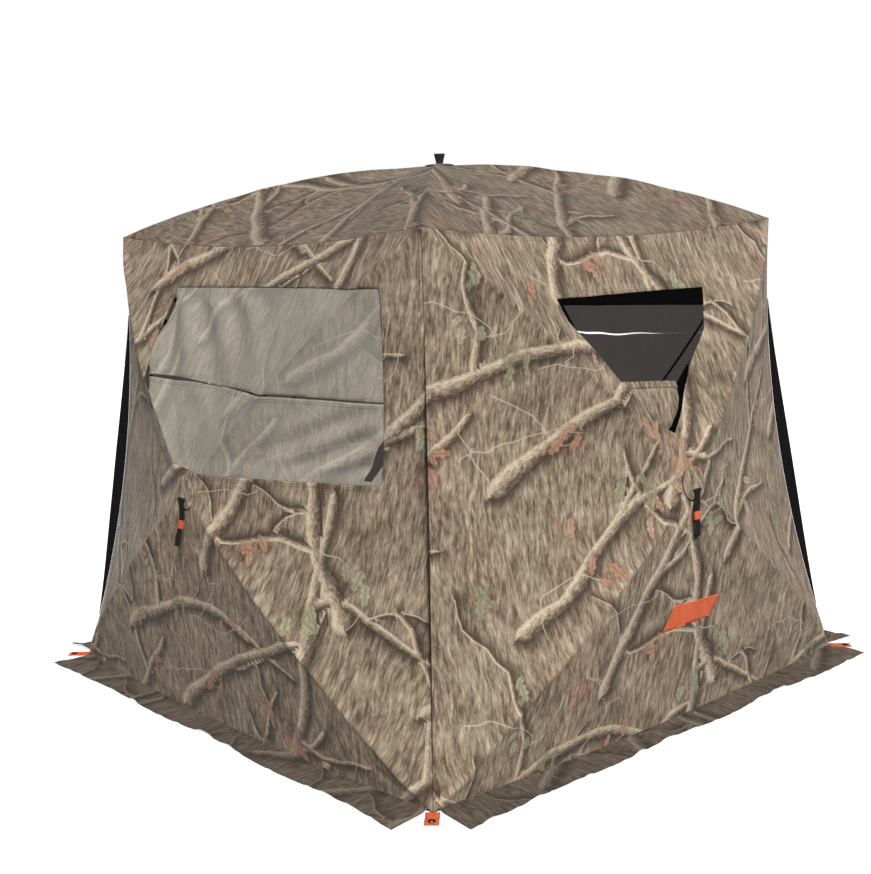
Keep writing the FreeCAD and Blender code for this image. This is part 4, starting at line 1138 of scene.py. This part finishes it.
def zipTeeth():
    # the two free edges of the door, from the hinge's foot round the point to the hinge's head
    corners = np.array(grown(doorOutline(), door["clearance"] / 2))
    places, ways = [], []
    for start, end, first, last in ((corners[0], corners[2], doorSpec["fromHinge"], 0.004),
                                    (corners[2], corners[1], 0.004, doorSpec["fromHinge"])):
        length = np.linalg.norm(end - start)
        share = np.arange(first, length - last, doorSpec["toothPitch"]) / length
        places.append(start + (end - start) * share[:, None])
        ways.append(np.tile((end - start) / length, (len(share), 1)))
    places, ways = np.vstack(places), np.vstack(ways)
    a, b = findPlace(wall, places[:, 0], places[:, 1])
    points, normals = clothPlace(wall, a, b, clothSpec["seeds"][2], lift=-0.0008)
    forward = np.column_stack([ways[:, 0], np.zeros(len(ways)), ways[:, 1]])
    forward = unit(forward - (forward * normals).sum(1, keepdims=True) * normals)
    sizes = doorSpec["tooth"]
    points, faces = boxesAt(points, forward, np.cross(normals, forward), normals, sizes)
    piece = makePiece("doorZipTeeth", turned(points, 2), faces, [blackSteel], smooth=False)
    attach(piece, "door_surround")


zipTeeth()
print("door made")

# patch and hub covers

patchSpec = {"width": 0.235, "height": 0.072, "slant": 0.040, "middle": 0.018, "belowHub": 0.419}


def patchOutline():
    width = patchSpec["width"] + patchSpec["slant"]
    slant = patchSpec["slant"] / width
    foot = blind["hubHeight"] - patchSpec["belowHub"] - patchSpec["height"] / 2
    shares = [(0, -0.1), (1 - slant, 0), (1, 0.9), (slant, 1)]
    return scaled(shares, patchSpec["middle"] - width / 2, foot, width, patchSpec["height"])


layOutline(
    "blankPatch", patchOutline(), 0.005, materials=[orangePatch], slot="patch", bodies=("shell", "front_hub"),
    lift=0.0013, thickness=0.0010, borders=[patchOutline()], replaces=["front_patch"],
    sheet=((0.275, 0.079), "stretched", "frontWallCloth", patchSpec["width"] * patchSpec["height"]))

hubCover = {"radius": 0.054, "height": 0.0094, "knobHole": 0.0135, "rings": 22, "sides": 96}


def coverHub(name, panel, quarters, hole, height, body):
    # a domed round of the same cloth over the hub's cap: flat over the cap, with a gathered rim
    rings, sides = hubCover["rings"], hubCover["sides"]
    radius = np.linspace(hole, hubCover["radius"], rings + 1)
    angle = np.arange(sides) * 2 * math.pi / sides
    r, t = [m.ravel() for m in np.meshgrid(radius, angle, indexing="ij")]
    share = r / hubCover["radius"]
    gathers = 0.0007 * np.cos(t * 14 + 0.8 * np.sin(3 * t))
    gathers *= smooth01(0.60, 0.85, share) * (1 - smooth01(0.93, 1, share))
    rise = height * (1 - share ** 5) + gathers + 0.0014 * (share > 0.95)
    along = unit(np.cross((0, 1, 0) if quarters is None else (0, 0, 1), panel["normal"]))
    up = np.cross(panel["normal"], along)
    flat = along * (r * np.cos(t))[:, None] + up * (r * np.sin(t))[:, None]
    points = panel["centre"] + flat + panel["normal"] * rise[:, None]
    i, j = [m.ravel() for m in np.meshgrid(np.arange(rings), np.arange(sides), indexing="ij")]
    p, q = i * sides + j, i * sides + (j + 1) % sides
    faces = np.concatenate([np.stack([p, p + sides, q + sides], 1), np.stack([p, q + sides, q], 1)])
    normals = np.tile(panel["normal"], (len(points), 1))
    piece = makeSkin(name, points, normals, faces, 0.0010, [roofCamoPaintedShade if quarters is None else camoCloth],
                     quarters or 0, (flat @ along + 0.7, flat @ up + 0.9), hubCover["radius"] - r)
    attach(piece, body)


for k, name in enumerate(wallNames):
    coverHub(f"{name}HubCover", wall, k, 0.0005, hubCover["height"], f"{name}_hub")
coverHub("roofHubCover", roof, None, hubCover["knobHole"], 0.0072, "roof_hub")
print("patch and hub covers made")

# webbing

webbing = {"width": 0.025, "thickness": 0.0013, "level": 0.0115, "barDrop": 0.020, "barRadius": 0.0026,
           "length": 0.150}


def ribbon(name, quarters, path, normals, width, thickness, material, steps=6):
    # closed strip of webbing: path points and their normals, swept along X across its width
    share = np.linspace(-0.5, 0.5, steps + 1)
    crown = -0.18 * thickness * (2 * share) ** 2
    across = np.array([1.0, 0, 0])
    top = path[:, None] + across * (share * width)[None, :, None] + normals[:, None] * crown[None, :, None]
    points, normals = top.reshape(-1, 3), np.repeat(normals, steps + 1, axis=0)
    faces = facing(points, gridTriangles(steps + 1, len(path)), normals)
    return makeSkin(name, points, normals, faces, thickness, [material], quarters)


def strapPath(offset, start, end, flare, count):
    # down the outer layer or up the inner one: distance below the bar, and how far it stands out
    d = np.linspace(start, end, count)
    out = offset + flare * np.clip(d / webbing["length"], 0, 1) ** 2 + 0.0012 * np.sin(d * 70)
    return np.column_stack([np.zeros(count), -out, -d])


def pullStrap(name, quarters, flare):
    # one length of webbing that goes round the bar and hangs doubled, with an orange sleeve
    w, radius = webbing, webbing["barRadius"] + webbing["thickness"]
    length = w["length"] - 0.002
    turn = np.linspace(0, math.pi, 14)[1:-1]
    loop = np.column_stack([np.zeros(12), -radius * np.cos(turn), radius * np.sin(turn)])
    outer = strapPath(radius, 0.0, length, flare, 40)[::-1]
    inner = strapPath(-radius, 0.0, length - 0.004, flare, 40)
    pinch = np.clip(outer[:, 2] / -0.018, 0, 1)
    outer[:, 1] += pinch * (radius - w["thickness"] * 1.05)
    pinch = np.clip(inner[:, 2] / -0.018, 0, 1)
    inner[:, 1] -= pinch * (radius - w["thickness"] * 0.05)
    path = np.vstack([outer, loop, inner])
    tangent = unit(np.gradient(path, axis=0))
    normals = np.cross(tangent, (1.0, 0, 0))
    if (normals[:30] @ np.array([0, -1.0, 0])).sum() < 0:
        normals = -normals
    down = unit(np.cross(wall["normal"], (1.0, 0, 0)))
    down = down if down[2] < 0 else -down
    middle = wall["centre"] + wall["normal"] * w["level"] + down * w["barDrop"]
    piece = ribbon(name, quarters, path + middle, normals, w["width"], w["thickness"], blackWebbing)
    body = f"{wallNames[quarters]}_strap"
    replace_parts(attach(piece, body), f"{wallNames[quarters]}_pull_strap")
    band = outer[::-1][18:26]
    ring = np.vstack([band + (0, -0.0009, 0), (band + (0, 2.6 * w["thickness"] + 0.0009, 0))[::-1]])
    ring = np.vstack([ring, ring[:1]])
    out = np.vstack([np.tile((0, -1.0, 0), (8, 1)), np.tile((0, 1.0, 0), (8, 1)), [(0, -1.0, 0)]])
    sleeve = ribbon(f"{name}Sleeve", quarters, ring + middle, out, w["width"] + 0.002, 0.0007, orangeWebbing)
    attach(sleeve, body)


for k, name in enumerate(wallNames):
    pullStrap(f"{name}PullStrap", k, (0.004, 0.010, 0.006, 0.030)[k])

tabSpec = {"width": 0.042, "length": 0.078, "start": 0.0008, "thickness": 0.0028, "eyeletFromEnd": 0.021,
           "hole": 0.0079}


def stakeTab(quarters):
    # doubled orange webbing on the ground at a floor corner, with a hole for its eyelet
    t = tabSpec
    outline = [(0, -t["width"] / 2), (t["length"], -t["width"] / 2), (t["length"], t["width"] / 2),
               (0, t["width"] / 2)]
    centre = t["length"] - t["eyeletFromEnd"]
    angle = np.arange(24) * 2 * math.pi / 24
    circle = [(centre + t["hole"] * math.cos(g), t["hole"] * math.sin(g)) for g in angle]
    s, z, faces = fillOutline(outline, 0.0026)
    s, z, faces = cutFlat(s, z, faces, circle, keepInside=False)
    corner = -blind["floorHalf"] - (s + t["start"]) * math.sqrt(0.5)
    aside = z * math.sqrt(0.5)
    points = np.column_stack([corner - aside, corner + aside, np.full(len(s), t["thickness"])])
    flatRound = np.hypot(s - centre, z)
    points[:, 2] += 0.0006 * np.sin(s * 160) * smooth01(0.012, 0.020, flatRound) * smooth01(0.0, 0.012, s)
    normals = np.tile((0, 0, 1.0), (len(points), 1))
    faces = facing(points, faces, normals)
    piece = makeSkin(f"stakeTab{quarters}", points, normals, faces, t["thickness"] - 0.0004, [orangeWebbing],
                     quarters)
    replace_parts(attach(piece, "shell"), "stake_tabs")


for k in range(4):
    stakeTab(k)
print("webbing made")

# skirt and corner webs

skirtSpec = {
    "reach": blind["floorHalf"] + 0.150, "hemHalf": 0.990, "tip": 1.008, "thickness": 0.0014,
    "along": 420, "out": 22,                                    # cells of its grid
    "ripple": 0.011, "edgeRipple": 0.009, "smallRipple": 0.0024, "rest": 0.0022,
    "shrink": 0.007,                                            # how far its free edge is drawn in
    "hemRise": 0.0055, "hemRound": 0.10,
}


def groundSkirt(quarters):
    # one flap of the skirt: sewn along the hem, it lies on the ground in low ripples
    n, m = skirtSpec["along"], skirtSpec["out"]
    t, w = [g.ravel() for g in np.meshgrid(np.linspace(-1, 1, n + 1), np.linspace(0, 1, m + 1))]
    hemX = t * skirtSpec["hemHalf"]
    share = (hemX / blind["floorHalf"] + 1) / 2
    hemY = blind["floorHalf"] + blind["hemBulge"] * hump(share) + 0.0008
    wavy = waves(t, t * 0, 0.16, 6, 200 + quarters, heading=0.0, spread=0.2)
    slow = waves(t, t * 0, 0.55, 4, 300 + quarters, heading=0.0, spread=0.2)
    edge = skirtSpec["reach"] - skirtSpec["shrink"] * (1 + slow) * (1 - np.abs(t) ** 12)
    x = hemX + (t * skirtSpec["tip"] - hemX) * w
    y = hemY + (edge - hemY) * w
    lift = np.maximum(wavy * 0.6 + slow * 0.5 - 0.1, 0)
    z = skirtSpec["rest"] + skirtSpec["ripple"] * lift * np.sin(math.pi * np.minimum(w * 1.1, 1)) ** 0.8
    z = z + skirtSpec["edgeRipple"] * lift * w ** 3
    small = np.maximum(waves(x, y, 0.07, 6, 400 + quarters), 0)
    atHem = skirtSpec["hemRise"] * np.exp(-(w / skirtSpec["hemRound"]) ** 2)
    z += atHem + skirtSpec["smallRipple"] * small * np.sqrt(w)
    points = np.column_stack([x, -y, z])
    faces = gridTriangles(n + 1, m + 1)[:, [0, 2, 1]]
    normals = np.tile((0, 0, 1.0), (len(points), 1))
    piece = makeSkin(f"{wallNames[quarters]}Skirt", points, normals, faces, skirtSpec["thickness"],
                     [skirtCamoPaintedShade, lining], quarters, (x + 0.15 * quarters, 0.37 - y),
                     np.minimum(w, 1 - w) * 0.125)
    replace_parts(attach(piece, "shell"), "ground_skirt")


webSpec = {"start": 0.10, "end": 0.82, "width": 0.038, "gap": 0.0008, "thickness": 0.0009}


def cornerWeb(quarters):
    # black lining that stands out along a corner seam in a shallow curve
    n, m = 160, 10
    t, w = [g.ravel() for g in np.meshgrid(np.linspace(0, 1, n + 1), np.linspace(0, 1, m + 1))]
    up = webSpec["start"] + (webSpec["end"] - webSpec["start"]) * t
    edge = plainPlace(wall, np.full(len(up), -1.0), 2 * up - 1)
    outward = np.array([-1, -1, 0]) * math.sqrt(0.5)
    side = np.array([1, -1, 0]) * math.sqrt(0.5)
    reach = webSpec["gap"] + w * (0.002 + webSpec["width"] * np.sin(math.pi * t))
    sway = w * (0.0006 * waves(up, up * 0, 0.22, 5, 500 + quarters, heading=0.0, spread=0.2))
    points = edge + outward * reach[:, None] + side * sway[:, None]
    normals = np.tile(side, (len(points), 1))
    faces = facing(points, gridTriangles(n + 1, m + 1), normals)
    points = points + normals * (webSpec["thickness"] / 2)
    piece = makeSkin(f"cornerWeb{quarters}", points, normals, faces, webSpec["thickness"], [blackBinding],
                     quarters)
    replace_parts(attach(piece, "shell"), "corner_webs")


for k in range(4):
    groundSkirt(k)
    cornerWeb(k)
print("skirt and webs made")

# camera, light, ground

cameraSpec = {
    "place": (-3.248, -3.579, 1.588),
    "forward": (0.6572, 0.7377, -0.1545),
    "roll": -1.7,           # degrees
    "lens": 53.8,
    "sensor": 36.0,
}


def addCamera():
    forward = np.array(cameraSpec["forward"]) / np.linalg.norm(cameraSpec["forward"])
    right = unit(np.cross(forward, (0, 0, 1)))
    up = np.cross(right, forward)
    angle = math.radians(cameraSpec["roll"])
    right, up = right * math.cos(angle) + up * math.sin(angle), up * math.cos(angle) - right * math.sin(angle)
    data = bpy.data.cameras.new("camera")
    data.sensor_fit = "HORIZONTAL"
    data.sensor_width = cameraSpec["sensor"]
    data.lens = cameraSpec["lens"]
    camera = bpy.data.objects.new("camera", data)
    turn = Matrix((right, up, -forward)).transposed().to_4x4()
    camera.matrix_world = Matrix.Translation(cameraSpec["place"]) @ turn
    bpy.context.scene.collection.objects.link(camera)
    bpy.context.scene.camera = camera


lightSpec = {
    "sky": 0.38,
    "key": {"from": (-0.40, -0.66, 0.63), "strength": 3.15, "size": 14},
    "fill": {"from": (0.55, -0.80, 0.15), "strength": 0.35, "size": 40},
}


def addSun(name, spec):
    data = bpy.data.lights.new(name, "SUN")
    data.energy = spec["strength"]
    data.angle = math.radians(spec["size"])
    lamp = bpy.data.objects.new(name, data)
    back = unit(np.array(spec["from"], float))
    side = unit(np.cross((0, 0, 1), back))
    lamp.matrix_world = Matrix((side, np.cross(back, side), back)).transposed().to_4x4()
    bpy.context.scene.collection.objects.link(lamp)


def addWorld():
    world = bpy.data.worlds.new("studio")
    bpy.context.scene.world = world
    world.use_nodes = True
    tree = world.node_tree
    tree.nodes.clear()
    seen = addNode(tree, "LightPath", out="Is Camera Ray")
    light = addNode(tree, "Background", {"Color": (1, 1, 1, 1), "Strength": lightSpec["sky"]})
    plain = addNode(tree, "Background", {"Color": (1, 1, 1, 1), "Strength": 1.0})
    mixed = addNode(tree, "MixShader", (seen, light, plain))
    setInputs(tree.nodes.new("ShaderNodeOutputWorld"), {"Surface": mixed})


def addFloor():
    # seen, the floor is white with a soft shadow; it throws little light back on the cloth
    material, shader, add = newMaterial("paleFloor")
    seen = add("LightPath", out="Is Camera Ray")
    colour = add("Mix", {0: seen, 6: linear("5a5a5a"), 7: linear("fbfbfb")}, **colourMix)
    glow = add("Math", (seen, 0.60), operation="MULTIPLY")
    setInputs(shader, {"Base Color": colour, "Roughness": 0.9, "Emission Color": (1, 1, 1, 1),
                       "Emission Strength": glow})
    half = 12.0     # of the floor's side, in metres
    corners = [(-half, -half, 0), (half, -half, 0), (half, half, 0), (-half, half, 0)]
    floor = makePiece("floor", np.array(corners) - (0, 0, 0.0005), [[0, 1, 2, 3]], [material], smooth=False)


addCamera()
addSun("keyLamp", lightSpec["key"])
addSun("fillLamp", lightSpec["fill"])
addWorld()
addFloor()
bpy.context.scene.view_settings.view_transform = "Standard"
print("camera and lamps set")
